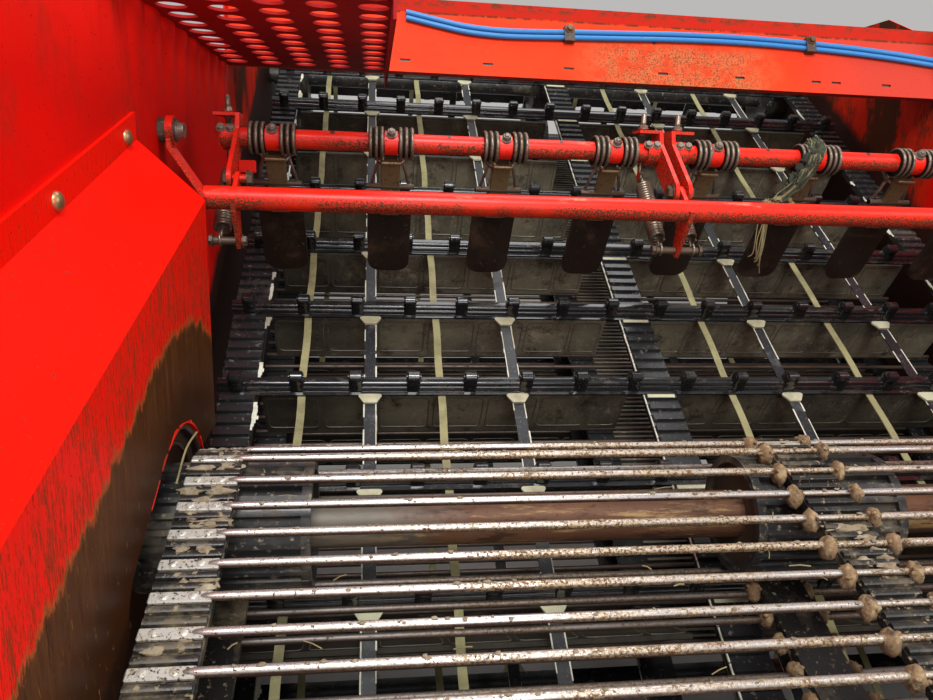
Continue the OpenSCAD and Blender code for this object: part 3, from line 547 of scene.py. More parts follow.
def beam_paint():
    """Orange red with a dusty patch below the hoses, a dirty fold, and painted shade on the strip above the
    fold.
    """
    k = Look("beam_paint", (0.82, 0.04, 0.005), 0.5, Specular_IOR_Level=0.1)
    k.over(k.spots(0.42, 0.7, 3, 7, 0.7, (1, 1, 2)), (0.66, 0.028, 0.005), 0.55)
    k.over(k.step(k.axis(0), 0.45, 0.8), (0.5, 0.04, 0.022), 0.5)
    z = k.axis(2)
    # Painted shade: the strip above the fold is painted a darker red.
    k.over(k.step(z, 1.764, 1.768), (0.5, 0.014, 0.004), 0.6)
    here = k.mul(k.step(k.axis(0), -0.14, 0.06), k.step(k.axis(0), 0.55, 0.36))
    here = k.mul(here, k.step(z, 1.738, 1.69))
    k.over(k.spots(0.36, 0.62, 22, 8, 0.8), (0.52, 0.13, 0.045), 0.7, here)
    k.over(k.spots(0.5, 0.56, 230, 5, 0.75), (0.17, 0.055, 0.022), 0.8, here)
    line = k.step(k.math("ABSOLUTE", k.sub(z, 1.7645)), 0.005, 0.001)
    k.over(k.spots(0.36, 0.56, 40, 6, 0.8, (1, 0.2, 0.2)), (0.14, 0.03, 0.012), 0.8, line)
    k.over(k.spots(0.46, 0.62, 60, 6, 0.8, (0.5, 1, 1)), (0.16, 0.035, 0.015), 0.8, k.step(z, 1.772, 1.792))
    k.over(k.spots(0.65, 0.7, 210, 3, 0.5), (0.24, 0.045, 0.02), 0.8)
    return k.done(k.noise(40, 5), 0.12, 0.002)


WALL, SHROUD, RED, TUBE, BEAM = wall_paint(), shroud_paint(), red_paint(), tube_paint(), beam_paint()
GUARD = red_paint("guard_paint", (0.34, 0.01, 0.01), 0.03, 0.6)
RAW = red_paint("raw_edge", (0.8, 0.02, 0.01), 0.08, 0.2)
ROD, FLIGHT, FINGER = rod_steel(), flight_grey(), finger_paint()
FLAT = layered("flat_steel", (0.5, 0.47, 0.42), 0.38, 0.45, (
    (0.48, 0.68, (60, 6, 0.7), (0.32, 0.26, 0.17), 0.8),
    (0.54, 0.6, (190, 5, 0.75, (1, 1, 1), 2), (0.05, 0.034, 0.02), 0.85)), (150, 4, 0.3, 0.0008))
BAR = layered("bar_black", (0.01, 0.01, 0.011), 0.16, 0.0, (
    (0.52, 0.64, (22, 8, 0.8, (0.5, 1, 1)), (0.024, 0.018, 0.013), 0.45),
    (0.59, 0.67, (30, 8, 0.8, (0.5, 1, 1), 4), (0.085, 0.066, 0.042), 0.75),
    (0.66, 0.72, (150, 4, 0.7), (0.16, 0.13, 0.08), 0.85)), (60, 5, 0.12, 0.001),
    Coat_Weight=0.4, Coat_Roughness=0.08)
CLOD = layered("clod", (0.185, 0.11, 0.052), 0.8, 0.0, (
    (0.45, 0.65, (90, 6, 0.7), (0.33, 0.235, 0.125), 0.95),
    (0.52, 0.66, (40, 6, 0.7, (1, 1, 1), 3), (0.045, 0.028, 0.018), 0.8)), (160, 5, 0.7, 0.7, 0.002))
SOIL_CAKE = layered("soil_cake", (0.23, 0.18, 0.115), 0.9, 0.0, (
    (0.45, 0.65, (70, 6, 0.7), (0.14, 0.1, 0.06), 0.95),
    (0.5, 0.7, (25, 4, 0.7, (1, 1, 1), 2), (0.33, 0.29, 0.2), 0.9)), (130, 5, 0.7, 0.6, 0.002))
HOSE = layered("hose_blue", (0.03, 0.185, 0.46), 0.34, 0.0, (
    (0.55, 0.8, (30, 6, 0.7, (0.3, 1, 1)), (0.14, 0.2, 0.26), 0.6),
    (0.66, 0.72, (200, 3), (0.1, 0.09, 0.07), 0.8)), (80, 3, 0.1, 0.0005), Specular_IOR_Level=0.35)
BELT = rubber("belt_rubber", (0.019, 0.019, 0.02), 0.22, 0.4, (0.075, 0.064, 0.048), 0.8)
SIEVE_BELT = rubber("sieve_belt_rubber", (0.014, 0.013, 0.012), 0.26, 0.55, (0.13, 0.098, 0.056))
DRUM = rubber("drum_rubber", (0.022, 0.022, 0.022), 0.34, 0.55, (0.13, 0.105, 0.07))
BLACK = rubber("black_strip", (0.011, 0.012, 0.015), 0.42, 0.45, (0.085, 0.085, 0.08), 2.0)
BEAD = rubber("bead_rubber", (0.105, 0.092, 0.07), 0.4, 0.4, (0.19, 0.165, 0.11))
LIP = rubber("worn_lip", (0.04, 0.018, 0.012), 0.32, 0.3, (0.12, 0.05, 0.022))
CLIP = rubber("clip_rubber", (0.045, 0.03, 0.022), 0.45, 0.5)
CREAM = strip_cloth("cream_strip", (0.29, 0.265, 0.125), (0.16, 0.14, 0.07))
CLAMP = strip_cloth("clamp_cream", (0.5, 0.48, 0.32), (0.3, 0.27, 0.17))
TWINE = strip_cloth("green_twine", (0.042, 0.05, 0.024), (0.01, 0.011, 0.007))
# This colour also serves the painted daylight patches beside the outer haulm belts.
FRAY_AND_DAYLIGHT = strip_cloth("frayed_edge_and_painted_daylight", (0.66, 0.65, 0.54), (0.34, 0.31, 0.22))
STALK = strip_cloth("dry_stalk", (0.25, 0.19, 0.085), (0.1, 0.08, 0.035))
RUST = rusty("rusty_tube", (0.105, 0.042, 0.018), (0.2, 0.085, 0.035), stain=True)
DISC = rusty("disc_dirt", (0.06, 0.042, 0.026), (0.12, 0.085, 0.048))
BRASS = plain_steel("brass_plating", (0.3, 0.21, 0.1), 0.36, 0.8)
IRON = plain_steel("bearing_iron", (0.07, 0.07, 0.072), 0.55, 0.3)
BOLT = plain_steel("bolt_steel", (0.26, 0.22, 0.18), 0.42, 0.7, 0.7)
DULL = plain_steel("dull_bolts", (0.105, 0.07, 0.048), 0.45, 0.5, 0.6)
SPRING = plain_steel("spring_steel", (0.24, 0.185, 0.14), 0.34, 0.7, 0.5)
STRAP = plain_steel("strap_steel", (0.27, 0.175, 0.085), 0.32, 0.55, 0.6)
LIFT_ROD = plain_steel("lift_steel", (0.11, 0.082, 0.066), 0.42, 0.6, 0.6)

# Finishes of the CAD nodes
for material, names in (
        (WALL, "wall_left wall_right"), (SHROUD, "shroud_left shroud_right"), (GUARD, "guard"),
        (RED, "rail_left rail_right cross_tubes"), (BEAM, "cross_beam"), (HOSE, "hoses"),
        (CLIP, "hose_clips"), (SIEVE_BELT, "sieve_belts"), (ROD, "sieve_web_rods"),
        (RUST, "sieve_drum_rear sieve_drum_front"),
        (BELT, "haulm_belts lift_belts"), (BAR, "haulm_bars"), (BLACK, "haulm_strips"),
        (DRUM, "haulm_drum_upper haulm_drum_lower lift_drum_upper lift_drum_lower"),
        (LIFT_ROD, "lift_rods"), (FLIGHT, "lift_flights"), (IRON, "bearings_left bearings_right"),
        (BOLT, "comb_pivots"), (SPRING, "comb_springs_left comb_springs_right"),
        (TUBE, "comb_frame half_bar_left half_bar_right"),
        (FINGER, " ".join(f"finger_{i}" for i in range(1, 9)))):
    for name in names.split():
        nodes[name].data.materials.clear()
        nodes[name].data.materials.append(material)


# Sieving web

SIEVE_RIB = [(-0.0055, -0.0032), (0.0055, -0.0032), (0.0045, 0.0025), (0.002, 0.004), (-0.002, 0.004),
             (-0.0045, 0.0025)]
FLAT_IN, FLAT_END, KNOB_XS = 0.818, 0.8915, (0.0, 0.097)


def sieve_pieces():
    rods, flats, ribs, clods, soil = shapes(5)
    tip = [(0.834, 0.0012), (0.829, 0.004), (FLAT_IN, 0.0056), (0.8, 0.006)]
    waist = [(-0.02, 0.006), (-0.004, 0.0046), (0.101, 0.0046), (0.117, 0.006)]
    profile = [(-x, r) for x, r in tip] + waist + tip[::-1]
    for i in range(SIEVE_RODS):
        m = sieve.place(SIEVE_PHASE + i * SIEVE_PITCH)
        rods.lathe(profile, m @ move(0, 0, 0.001), 14)
        for side in (-1, 1):
            lo, hi = sorted((side * FLAT_IN, side * FLAT_END))
            flats.box((lo, -0.008, -0.003), (hi, 0.008, 0.0035), m, 0.0016)
            for x in (FLAT_IN + 0.022, FLAT_END - 0.018):
                flats.lathe([(0, 0.0055), (0.0008, 0.0055), (0.0016, 0.0042)],
                            m @ move(side * x, 0, 0.0035) @ TO_TOP, 12)
        for k in (1, 2):
            at = sieve.place(SIEVE_PHASE + (i + k / 3) * SIEVE_PITCH)
            for x in SIEVE_BELTS:
                ribs.prism(x - 0.036, x + 0.036, SIEVE_RIB, at)
        for k, x in enumerate(KNOB_XS):
            centre = m @ vec(x, -0.002, 0.001 - 0.004 * (1 - k))
            clods.ball(centre, (0.011 - 0.0015 * k, 0.0155, 0.017 - 0.002 * k), 0.28, i * 2 + k, 9)
            for _ in range(4):
                d = vec(pick(-0.012, 0.012), pick(-0.014, 0.006), pick(0.004, 0.012))
                clods.ball(centre + d, (pick(0.002, 0.006), 0.003, 0.003), 0.6, rng.random() * 50, 4)
        for x in (-0.854, 0.854, 0.048):
            if rng.random() < 0.55:
                for _ in range(rng.randint(2, 5)):
                    at = sieve.place(SIEVE_PHASE + (i + pick(0.25, 0.75)) * SIEVE_PITCH)
                    w = pick(0.006, 0.022)
                    soil.ball(at @ vec(x + pick(-0.024, 0.024), 0, -0.001), (w, 0.009, 0.0055), 0.8,
                              rng.random() * 90, 5)
    rods.make("sieve_rods", ROD, "rod_steel", hides=("sieve_web_rods",))
    flats.make("sieve_flats", FLAT, "rod_steel")
    ribs.make("sieve_belt_ribs", SIEVE_BELT, "belt_rubber")
    clods.make("sieve_knobs", CLOD, "rod_steel", smooth=60)
    soil.make("sieve_soil", SOIL_CAKE, "belt_rubber", smooth=60)


def ribbed_drum(lagging, discs, at, x0, x1):
    """A drum with rubber bars round it; its ends are set in behind a rubber rim."""
    m, r, bars = move(0, *at), SIEVE_DRUM_R, 26
    for lo, hi in ((x0, x0 + 0.014), (x1 - 0.014, x1)):
        rim = [(lo, r - 0.013), (lo, r - 0.001), (hi, r - 0.001), (hi, r - 0.013)]
        lagging.lathe(rim, m, 40, loop=True)
    lagging.lathe([(x0 + 0.01, r - 0.009), (x1 - 0.01, r - 0.009)], m, 40)
    for k in range(bars):
        bar = wedge(0.00575, 0.00375, r - 0.012, r - 0.0005)
        lagging.prism(x0 + 0.004, x1 - 0.004, bar, m @ rot_x(360 * k / bars))
    for lo, hi in ((x0 + 0.0085, x0 + 0.0098), (x1 - 0.0098, x1 - 0.0085)):
        discs.lathe([(lo, r - 0.0128), (hi, r - 0.0128)], m, 40)


def sieve_drums():
    lagging, tubes, discs = shapes(3)
    rear, front = sieve.at, sieve.beside(-sieve.run, 0)
    for x0, x1 in ((-0.966, -0.716), (-0.04, 0.21), (0.716, 0.966)):
        ribbed_drum(lagging, discs, rear, x0, x1)
    for x in SIEVE_BELTS:
        ribbed_drum(lagging, discs, front, x - 0.045, x + 0.045)
    tube = [(-0.986, 0.025), (-0.986, 0.038), (0.986, 0.038), (0.986, 0.025), (1.034, 0.025)]
    tubes.lathe([(-1.098, 0.0225), (-1.038, 0.0225), (-1.038, 0.025)] + tube, move(0, *rear), 40)
    tubes.lathe([(-1.034, 0.025)] + tube, move(0, *front), 40)
    lagging.make("sieve_drum_lagging", DRUM, "web_drum")
    discs.make("sieve_drum_discs", DISC, "drum_steel")
    tubes.make("sieve_drum_tubes", RUST, "drum_steel", hides=("sieve_drum_rear", "sieve_drum_front"))


# Haulm web

BAR_OUTLINE = [(-0.0225, -0.012), (0.0115, -0.012), (0.0125, -0.01), (0.0125, 0.008), (0.01, 0.012),
               (-0.004, 0.012), (-0.0075, 0.0095), (-0.0085, 0.003), (-0.012, 0.001), (-0.0135, -0.0065),
               (-0.0225, -0.0075)]
CAP_OUTLINE = [(-0.0165, -0.01), (0.0145, -0.01), (0.0155, 0.018), (0.012, 0.03), (0.004, 0.0375),
               (-0.005, 0.038), (-0.012, 0.034), (-0.0155, 0.026), (-0.0125, 0.018), (-0.014, 0.01)]
CAP_RIM = [(y * 0.8, z * 0.86 + 0.001) for y, z in CAP_OUTLINE]
CAPS, CAP_PITCH, STRIP_ROWS = 16, 0.1215, 190
CREAM_STRIPS, BLACK_STRIPS = (-0.776, -0.483, 0.174, 0.508), (-0.634, -0.318, 0.315, 0.65)
CREAM_W, BLACK_W = 0.016, 0.025


def haulm_bars():
    bars, ribs, clamps = shapes(3)
    for i in range(HAULM_BARS):
        s = HAULM_PHASE + i * HAULM_PITCH
        m = haulm.place(s)
        bars.prism(-0.946, 0.954, BAR_OUTLINE, m)
        for k in range(CAPS):
            x = HAULM_BELTS[1] + (k + 0.5) * CAP_PITCH - CAP_PITCH * CAPS / 2
            bars.lens(x, 0.014, 0.011, CAP_RIM, CAP_OUTLINE, m)
            bars.lathe([(x - 0.0155, 0.0045), (x + 0.0155, 0.0045)], m @ move(0, -0.004, 0.029), 10)
        for x in BLACK_STRIPS:
            clamps.lens(x, 0.024, 0.013, rect(-0.02, -0.014, -0.0125, -0.0085),
                        rect(-0.038, -0.014, -0.0125, -0.0075), m @ move(0, -0.006, 0.001))
        for y0, y1 in ((-0.035, -0.0255), (0.015, 0.019)):
            clamps.box((-0.029, y0, -0.013), (0.034, y1, -0.0035), m, 0.0012)
        for k in range(1, 8):
            m = haulm.place(s + k * HAULM_PITCH / 8)
            for x in HAULM_BELTS:
                ribs.lens(x, 0.037, 0.034, wedge(0.0075, 0.006, -0.013, -0.008),
                          wedge(0.0085, 0.0065, -0.013, -0.0045), m)
    return bars, ribs, clamps


def frayed_strip(fray_and_daylight, x):
    """Short white threads along both edges of a black strip."""
    for side in (-1, 1):
        s = 0.0
        while s < haulm.total:
            length = pick(0.008, 0.05)
            if rng.random() < 0.72:
                edge, out = x + side * BLACK_W / 2, pick(0.0004, 0.0018)
                lo, hi = sorted((edge - side * 0.0015, edge + side * out))
                n = max(2, int(length / 0.015))
                for q in range(n):
                    fray_and_daylight.link(haulm, s + length * q / n, length / n, rect(lo, hi, -0.0127, -0.012))
            s += length


def painted_daylight_patches(fray_and_daylight, edge, side):
    """Long white patches along an outer belt's inner edge: painted light, for the daylight seen through the
    gap there.
    """
    s = 0.0
    while s < haulm.total:
        length, gap = pick(0.02, 0.075), pick(0.015, 0.11)
        n, wide = max(3, int(length / 0.008)), pick(0.004, 0.011)
        for q in range(n):
            out = wide * sin(pi * (q + 0.3) / (n + 0.6)) * (0.7 + 0.6 * rng.random())
            lo, hi = sorted((edge - side * 0.002, edge + side * (0.001 + out)))
            fray_and_daylight.link(haulm, s + length * q / n, length / n, rect(lo, hi, -0.0128, -0.0108))
        s += length + gap


def haulm_pieces():
    bars, ribs, clamps = haulm_bars()
    cream, black, fray_and_daylight = shapes(3)
    row = haulm.total / STRIP_ROWS
    for x in sorted(CREAM_STRIPS + BLACK_STRIPS):
        wide = x in BLACK_STRIPS
        shape, w = (black, BLACK_W) if wide else (cream, CREAM_W)
        verts = []
        for k in range(STRIP_ROWS):
            m = haulm.place(k * row)
            sway = 0.0 if wide else 0.0012 * sin(k * 0.9 + x * 40)
            verts += [m @ vec(x + sway + dx, 0, z) for dx, z in rect(-w / 2, w / 2, -0.015, -0.0125)]
        shape.skin(verts, 4, loop=True)
        if wide:
            frayed_strip(fray_and_daylight, x)
    for k in range(STRIP_ROWS):
        wide = 0.0012 + 0.0022 * abs(noise.noise(vec(k * 0.6, 4, 0)))
        fray_and_daylight.link(haulm, k * row, 0.93 * row, rect(-0.0338 - wide, -0.0325, -0.0135, -0.01))
    # Painted light: pale patches along the inner edges of both outer belts.
    painted_daylight_patches(fray_and_daylight, -0.869, 1)
    painted_daylight_patches(fray_and_daylight, 0.877, -1)
    bars.make("haulm_bar_profiles", BAR, "bar_rubber", hides=("haulm_bars",), smooth=50)
    ribs.make("haulm_belt_ribs", BELT, "belt_rubber")
    clamps.make("haulm_strip_clamps", CLAMP, "strip_fabric")
    cream.make("haulm_strips_cream", CREAM, "strip_fabric", hides=("haulm_strips",))
    black.make("haulm_strips_black", BLACK, "strip_fabric")
    fray_and_daylight.make("haulm_strip_fray_and_painted_daylight", FRAY_AND_DAYLIGHT, "strip_fabric")


# Lifting web

# Cells of a flight's embossing: from x, to x, how many
CELLS = ((-0.86, -0.14, 6), (-0.142, -0.062, 1), (0.05, 0.86, 7))
BEAD_R, RUNGS, RIBS, SHADE_BAND_ROWS = 0.01, 18, 12, 150


def lift_pieces():
    beads, ribs, wings = shapes(3)
    for i in range(LIFT_FLIGHTS):
        m = lift.place(LIFT_PHASE + i * HAULM_PITCH)
        for x0, x1, cells in CELLS:
            w = (x1 - x0) / cells
            for c in range(cells):
                path = []
                for sx, sz, start in ((1, 1, 0), (-1, 1, 90), (-1, -1, 180), (1, -1, 270)):
                    for a in (0, 45, 90):
                        ca, sa = cos_sin(start + a)
                        path.append((x0 + (c + 0.5) * w + sx * (w / 2 - 0.016) + BEAD_R * ca,
                                     0.07 + sz * 0.04 + BEAD_R * sa))
                for face in (-0.0045, 0.0045):
                    beads.tube([(x, face, z) for x, z in path + path[:1]], 0.0015, 4, m)
        wings.box((-0.1405, -0.0045, 0.008), (-0.06, 0.0045, 0.128), m, 0.001)
        for k in range(RUNGS):
            m = lift.place(LIFT_PHASE + (i + k / RUNGS) * HAULM_PITCH)
            beads.box((-0.066, -0.0024, -0.006), (0.044, 0.0024, 0.003), m)
        for k in range(RIBS):
            m = lift.place(LIFT_PHASE + (i + (k + 0.5) / RIBS) * HAULM_PITCH)
            for x in LIFT_BELTS:
                ribs.box((x - 0.029, -0.004, -0.006), (x + 0.029, 0.004, 0.0), m)
    # Painted shade: a dark band under the rungs, all round the loop, stands for the shade behind them.
    shade_band = rect(-0.067, 0.045, -0.0085, -0.0055)
    rows = [lift.place(lift.total * k / SHADE_BAND_ROWS) for k in range(SHADE_BAND_ROWS)]
    ribs.skin([m @ vec(x, 0, z) for m in rows for x, z in shade_band], 4, loop=True)
    beads.make("flight_beads", BEAD, "flight_rubber")
    wings.make("flight_wings", FLIGHT, "flight_rubber")
    ribs.make("lift_belt_ribs_and_shade_band", BELT, "belt_rubber")


# Comb

COIL_LEGS = (((0.0165, 0.0285, 0.004), (0.02, 0.023, -0.035), (0.032, 0.01, -0.075), (0.04, 0.0098, -0.112)),
             ((0.04, 0.0285, 0.003), (0.043, 0.024, -0.03), (0.027, 0.016, -0.052), (0.015, 0.009, -0.058)))


def on_tube(x, tilt, up):
    """A place on the upper tube, with its X axis pointing out of it."""
    return move(x, UPPER.y, UPPER.z) @ rot_x(tilt) @ move(0, 0, up) @ TO_TOP


def finger_pieces():
    for i in range(8):
        x = COMB_X + (-FINGER_OFF + (i - 3) * FINGER_PITCH if i < 4 else FINGER_OFF + (i - 4) * FINGER_PITCH)
        body, m = f"finger_{i + 1}", move(x, UPPER.y, UPPER.z) @ rot_x(FINGER_TILT)
        strap, pin, bolt, legs = shapes(4)
        strap.box((-0.0195, -0.0052, -0.178), (0.0195, 0.0045, -0.04), m, 0.0015)
        strap.box((-0.021, -0.0166, -0.0436), (0.021, 0.006, -0.0355), m, 0.002)
        pin.lathe([(-0.05, 0.0052), (-0.048, 0.0062), (0.048, 0.0062), (0.05, 0.0052)],
                  m @ move(0, 0, -0.105), 20)
        head = on_tube(x, 48, 0.024)
        bolt.bolt_head(head, 0.0092, 0.0085)
        bolt.lathe([(0.008, 0.005), (0.0125, 0.005), (0.0135, 0.004)], head, 12)
        for side in (-1, 1):
            pin.bolt_head(m @ move(side * 0.01, -0.0052, -0.16) @ TO_FRONT, 0.006, 0.004)
            for leg in COIL_LEGS:
                legs.tube(bend([m @ vec(side * a, b, c) for a, b, c in leg]), 0.0033, 8)
        for shape, name, material, slot in (
                (strap, "strap", STRAP, "finger_rubber"), (pin, "cross_pin", DULL, "bolt_steel"),
                (bolt, "hub_bolt", BOLT, "bolt_steel"), (legs, "coil_legs", SPRING, "spring_steel")):
            shape.make(f"{name}_{i + 1}", material, slot, body)


def tube_holes():
    """Dark discs for small holes in the upper tube, half way between the fingers: painted shade for the
    holes' insides.
    """
    for body, xs in (("bar_left", (-0.71, -0.478, -0.246)), ("bar_right", (0.206, 0.438, 0.67))):
        holes = Shape()
        for x in xs:
            holes.lathe([(0, 0.005), (0.001, 0.0048)], on_tube(x, 33, TUBE_R - 0.0008), 16)
        holes.make(f"{body}_holes", LIP, "red_paint", body)


def spring_pieces():
    axis, side = (EYE - FOOT).normalized(), vec(1, 0, 0)
    other = axis.cross(side)
    start, end = FOOT + axis * 0.03, EYE - axis * 0.028
    turns, sides, r, wire, hook_r = 22, 12, 0.015, 0.0028, 0.011
    steps = turns * sides
    for name, xs in (("left", (-0.913, -0.054)), ("right", (0.014, 0.873))):
        for k, x in enumerate(xs):
            shape, at, coil = Shape(), vec(x, 0, 0), []
            for j in range(steps + 1):
                a = 2 * pi * j / sides
                p = at + start + axis * ((end - start).length * j / steps)
                coil.append(p + r * (cos(a) * side + sin(a) * other))
            shape.tube(coil, wire, 6)
            for pin, way in ((FOOT, 1), (EYE, -1)):
                hook = []
                for j in range(13):
                    c, s = cos_sin(-120 + 300 * j / 12)
                    hook.append(at + pin + way * axis * (0.003 - hook_r * c) + other * (hook_r * s))
                shape.tube(hook + [at + pin + way * axis * 0.031], 0.0024, 6)
            piece = shape.make(f"tension_spring_{name}_{k + 1}", SPRING, "spring_steel", None,
                               (f"comb_springs_{name}",), smooth=60)
            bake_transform(piece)


def eyebolt(shape, x):
    up = move(x, EYE.y, EYE.z) @ TO_TOP
    thread = []
    for k in range(30):
        z = 0.05 + k * 0.0021
        thread += [(z, 0.0052), (z + 0.00105, 0.006)]
    shape.lathe(thread + [(0.1135, 0.0052), (0.129, 0.005), (0.1305, 0.004)], up, 14)
    shape.lathe([(0.012, 0.0052), (0.05, 0.0052)], up, 14)
    for z in (0.0855, 0.1015):
        shape.prism(z, z + 0.006, circle(6, 0.0095), up)
    shape.lathe([(0.0998, 0.0118), (0.1014, 0.0118)], up, 18)
    ring = [cos_sin(20 + 320 * k / 16) for k in range(17)]
    shape.tube([(x, EYE.y + 0.0095 * s, EYE.z + 0.0095 * c) for c, s in ring], 0.0032, 8)


def bracket_pieces():
    """Threaded eyebolts with their nuts and hooks, clamp bolts and stop tabs."""
    for bar, side, xs in (("bar_left", -1, (-0.896, -0.037)), ("bar_right", 1, (-0.011, 0.848))):
        eyes, bolts, tabs = shapes(3)
        for x in xs:
            eyebolt(eyes, x + (0.029 if side > 0 else -0.021))
            for dx in (-0.008, 0.01):
                bolts.bolt_head(on_tube(x + 0.004 + side * (0.02 + dx), 52, 0.0245), 0.0075, 0.006)
            lo, hi = (x + 0.008, x + 0.042) if x < -0.5 else (x - 0.034, x)
            if abs(x) > 0.5:
                tabs.box((lo, UPPER.y - 0.046, UPPER.z - 0.068), (hi, UPPER.y - 0.04, UPPER.z - 0.044),
                         chamfer=0.002)
        eyes.make(f"{bar}_eyebolts", SPRING, "bolt_steel", bar)
        bolts.make(f"{bar}_clamp_bolts", BOLT, "bolt_steel", bar)
        tabs.make(f"{bar}_stop_tabs", RED, "red_paint", bar)


def frame_bolts():
    """Nuts on the lugs, sleeves and nuts on the springs' foot pins, and the comb's two wall bolts."""
    nuts, discs = shapes(2)
    for x in (-0.883, -0.024, 0.835):
        for at, way in ((x - 0.013, -1), (x + 0.021, 1)):
            nuts.bolt_head(move(at, *PIVOT.yz) @ outward(way) @ rot_x(30), 0.0135, 0.0085)
    for lo, hi, way in ((-0.9255, -0.8835, -1), (-0.8745, -0.8725, 1), (-0.0645, -0.0245, -1),
                        (-0.0155, 0.0245, 1), (0.8435, 0.8855, 1), (0.8325, 0.8345, -1)):
        nuts.lathe([(lo, 0.0066), (lo + 0.0005, 0.0074), (hi - 0.0005, 0.0074), (hi, 0.0066)],
                   move(0, *FOOT.yz), 20)
        nuts.bolt_head(move(hi if way > 0 else lo, *FOOT.yz) @ outward(way), 0.0105, 0.007)
    nuts.make("lug_nuts", DULL, "bolt_steel", "comb_frame")
    for side, name in ((-1, "comb_bolt_left"), (1, "comb_bolt_right")):
        at = move(side * 0.974, -0.39, 1.406) @ outward(side)
        discs.lathe([(-0.0035, 0.0205), (-0.0003, 0.0205)], at, 28)
        discs.lathe([(0.0125, 0.0215), (0.0255, 0.0215)], at, 28)
        head = Shape()
        head.bolt_head(at @ move(-0.0035, 0, 0) @ outward(-1), 0.0135, 0.0105)
        head.make(name, BOLT, "bolt_steel")
    discs.make("comb_washers", CLIP, "clip_plastic")


def tangle():
    """A dried bunch of haulm and twine over the coils of the sixth finger."""
    bunch, dry = shapes(2)
    top = vec(0.303, UPPER.y, UPPER.z)
    line = bend([(0.008, 0.026, -0.012), (0.008, 0.022, 0.02), (0.006, -0.002, 0.04), (0.0, -0.04, 0.014),
                 (-0.022, -0.044, -0.028), (-0.05, -0.036, -0.064), (-0.082, -0.028, -0.098)], 8)
    for k in range(210):
        start, reach = rng.random() ** 0.8 * 0.72, pick(0.1, 0.34)
        phase, twist, wide = pick(0, 6.28), pick(-7, 7), pick(0.002, 0.017)
        pts = []
        for j in range(6):
            f = min(1.0, start + reach * j / 5)
            c = line[int(f * (len(line) - 1))]
            a = phase + twist * f + pick(-0.5, 0.5)
            r = wide * pick(0.6, 1.35) * (0.75 if f < 0.45 else 1.0)
            pts.append(top + c + vec(r * cos(a), 0.5 * r * sin(a), 0.8 * r * sin(a + 0.6)))
        (bunch if k % 5 else dry).tube(bend(pts, 4), pick(0.0007, 0.0019), 5)
    for k in range(34):
        f = rng.random()
        c = top + vec(-0.07 * f + rng.gauss(0, 0.009), -0.042 + 0.02 * f, 0.03 - 0.115 * f)
        bunch.ball(c, (pick(0.003, 0.008), 0.004, pick(0.004, 0.011)), 0.9, k * 1.3, 5)
    for k in range(14):
        c = top + vec(pick(-0.105, -0.035), pick(-0.04, -0.022), pick(-0.098, -0.082))
        dry.ball(c, (pick(0.005, 0.011), 0.006, 0.005), 0.9, k * 2.1, 5)
    for k in range(9):
        a = top + vec(rng.gauss(-0.082, 0.01), -0.024, -0.085)
        b = a + vec(pick(-0.014, 0.002), 0.006, -0.05)
        c = b + vec(pick(-0.014, 0.008), 0.01, -pick(0.04, 0.08))
        d = c + vec(pick(-0.01, 0.012), 0.006, -pick(0.01, 0.05))
        dry.tube(bend([a, b, c, d], 5), pick(0.0009, 0.0015), 5)
    bunch.make("haulm_tangle_green", TWINE, body="finger_6", smooth=60)
    dry.make("haulm_tangle_dry", STALK, body="finger_6", smooth=60)


# Walls, beam and hoses

# The shroud's slot round the sieving web and its sheet's lower edge: along the web, and up from it
SLOT = [(0.156, 0.0), (0.15, 0.043), (0.135, 0.078), (0.11, 0.11), (0.078, 0.135), (0.04, 0.15),
        (0.0, 0.1555), (-0.04, 0.1545), (-0.081, 0.149), (-0.158, 0.138), (-0.205, 0.129), (-0.232, 0.113),
        (-0.245, 0.096), (-0.241, 0.08)]
SKIRT = [(-0.25, 0.083), (-0.275, 0.074), (-0.311, 0.063), (-0.4, 0.056), (-0.5, 0.054), (-0.6, 0.054),
         (-0.7, 0.054)]
SKIRT_TOP = 0.158


def slot_line(inset, steps=5):
    """The slot's edge, set in towards its middle."""
    pts = bend([(0, u, v) for u, v in SLOT], steps)
    out = []
    for i, p in enumerate(pts):
        d = (pts[min(i + 1, len(pts) - 1)] - pts[max(i - 1, 0)]).normalized()
        out.append((p.y - d.z * inset, p.z + d.y * inset))
    return out


def shroud_bolts():
    domes = Shape()
    for side in (1, -1):
        for k in range(3):
            at = move(-side * (WALL_X - 0.005), sieve.at[0] + 0.1275 - 0.272 * k, 1.383 - 0.0845 * k)
            domes.lathe([(0, 0.0125), (0.003, 0.012), (0.006, 0.0095), (0.0078, 0.005), (0.0083, 0.0012)],
                        at @ outward(side), 20)
    domes.make("shroud_bolts", BRASS, "bolt_steel")


def shroud_skirt():
    """Sheet below the straight cut, down beside the web."""
    skirt = Shape()
    foot = [(u, v) for u, v in slot_line(0.0) if u < 0.002 and v > 0.095] + SKIRT
    for side in (1, -1):
        verts = []
        for u, v in foot:
            for x, up in rect(0.9101, 0.9135, v, SKIRT_TOP):
                y, z = sieve.beside(u, up)
                verts.append((side * x, max(y, FRONT + 0.004), z))
        skirt.skin(verts, 4)
    skirt.make("shroud_skirt", SHROUD, "red_paint")


def shroud_lip():
    """Two worn beads in the slot and the strip between them."""
    lip, rows = Shape(), (slot_line(0.003), slot_line(0.031))
    n = len(rows[0])
    strip = [(b + k, b + k + 1, b + n + k + 1, b + n + k) for b in (0, 2 * n) for k in range(n - 1)]
    for side in (1, -1):
        for inset, x, r in ((0.0045, 0.9165, 0.0052), (0.029, 0.929, 0.0045)):
            lip.tube([(side * x, *sieve.beside(u, v)) for u, v in slot_line(inset)], r, 8)
        lip.add([(side * x, *sieve.beside(u, v)) for x in (0.927, 0.9295) for row in rows for u, v in row],
                strip)
    lip.make("shroud_lip", LIP, "red_paint", smooth=60)


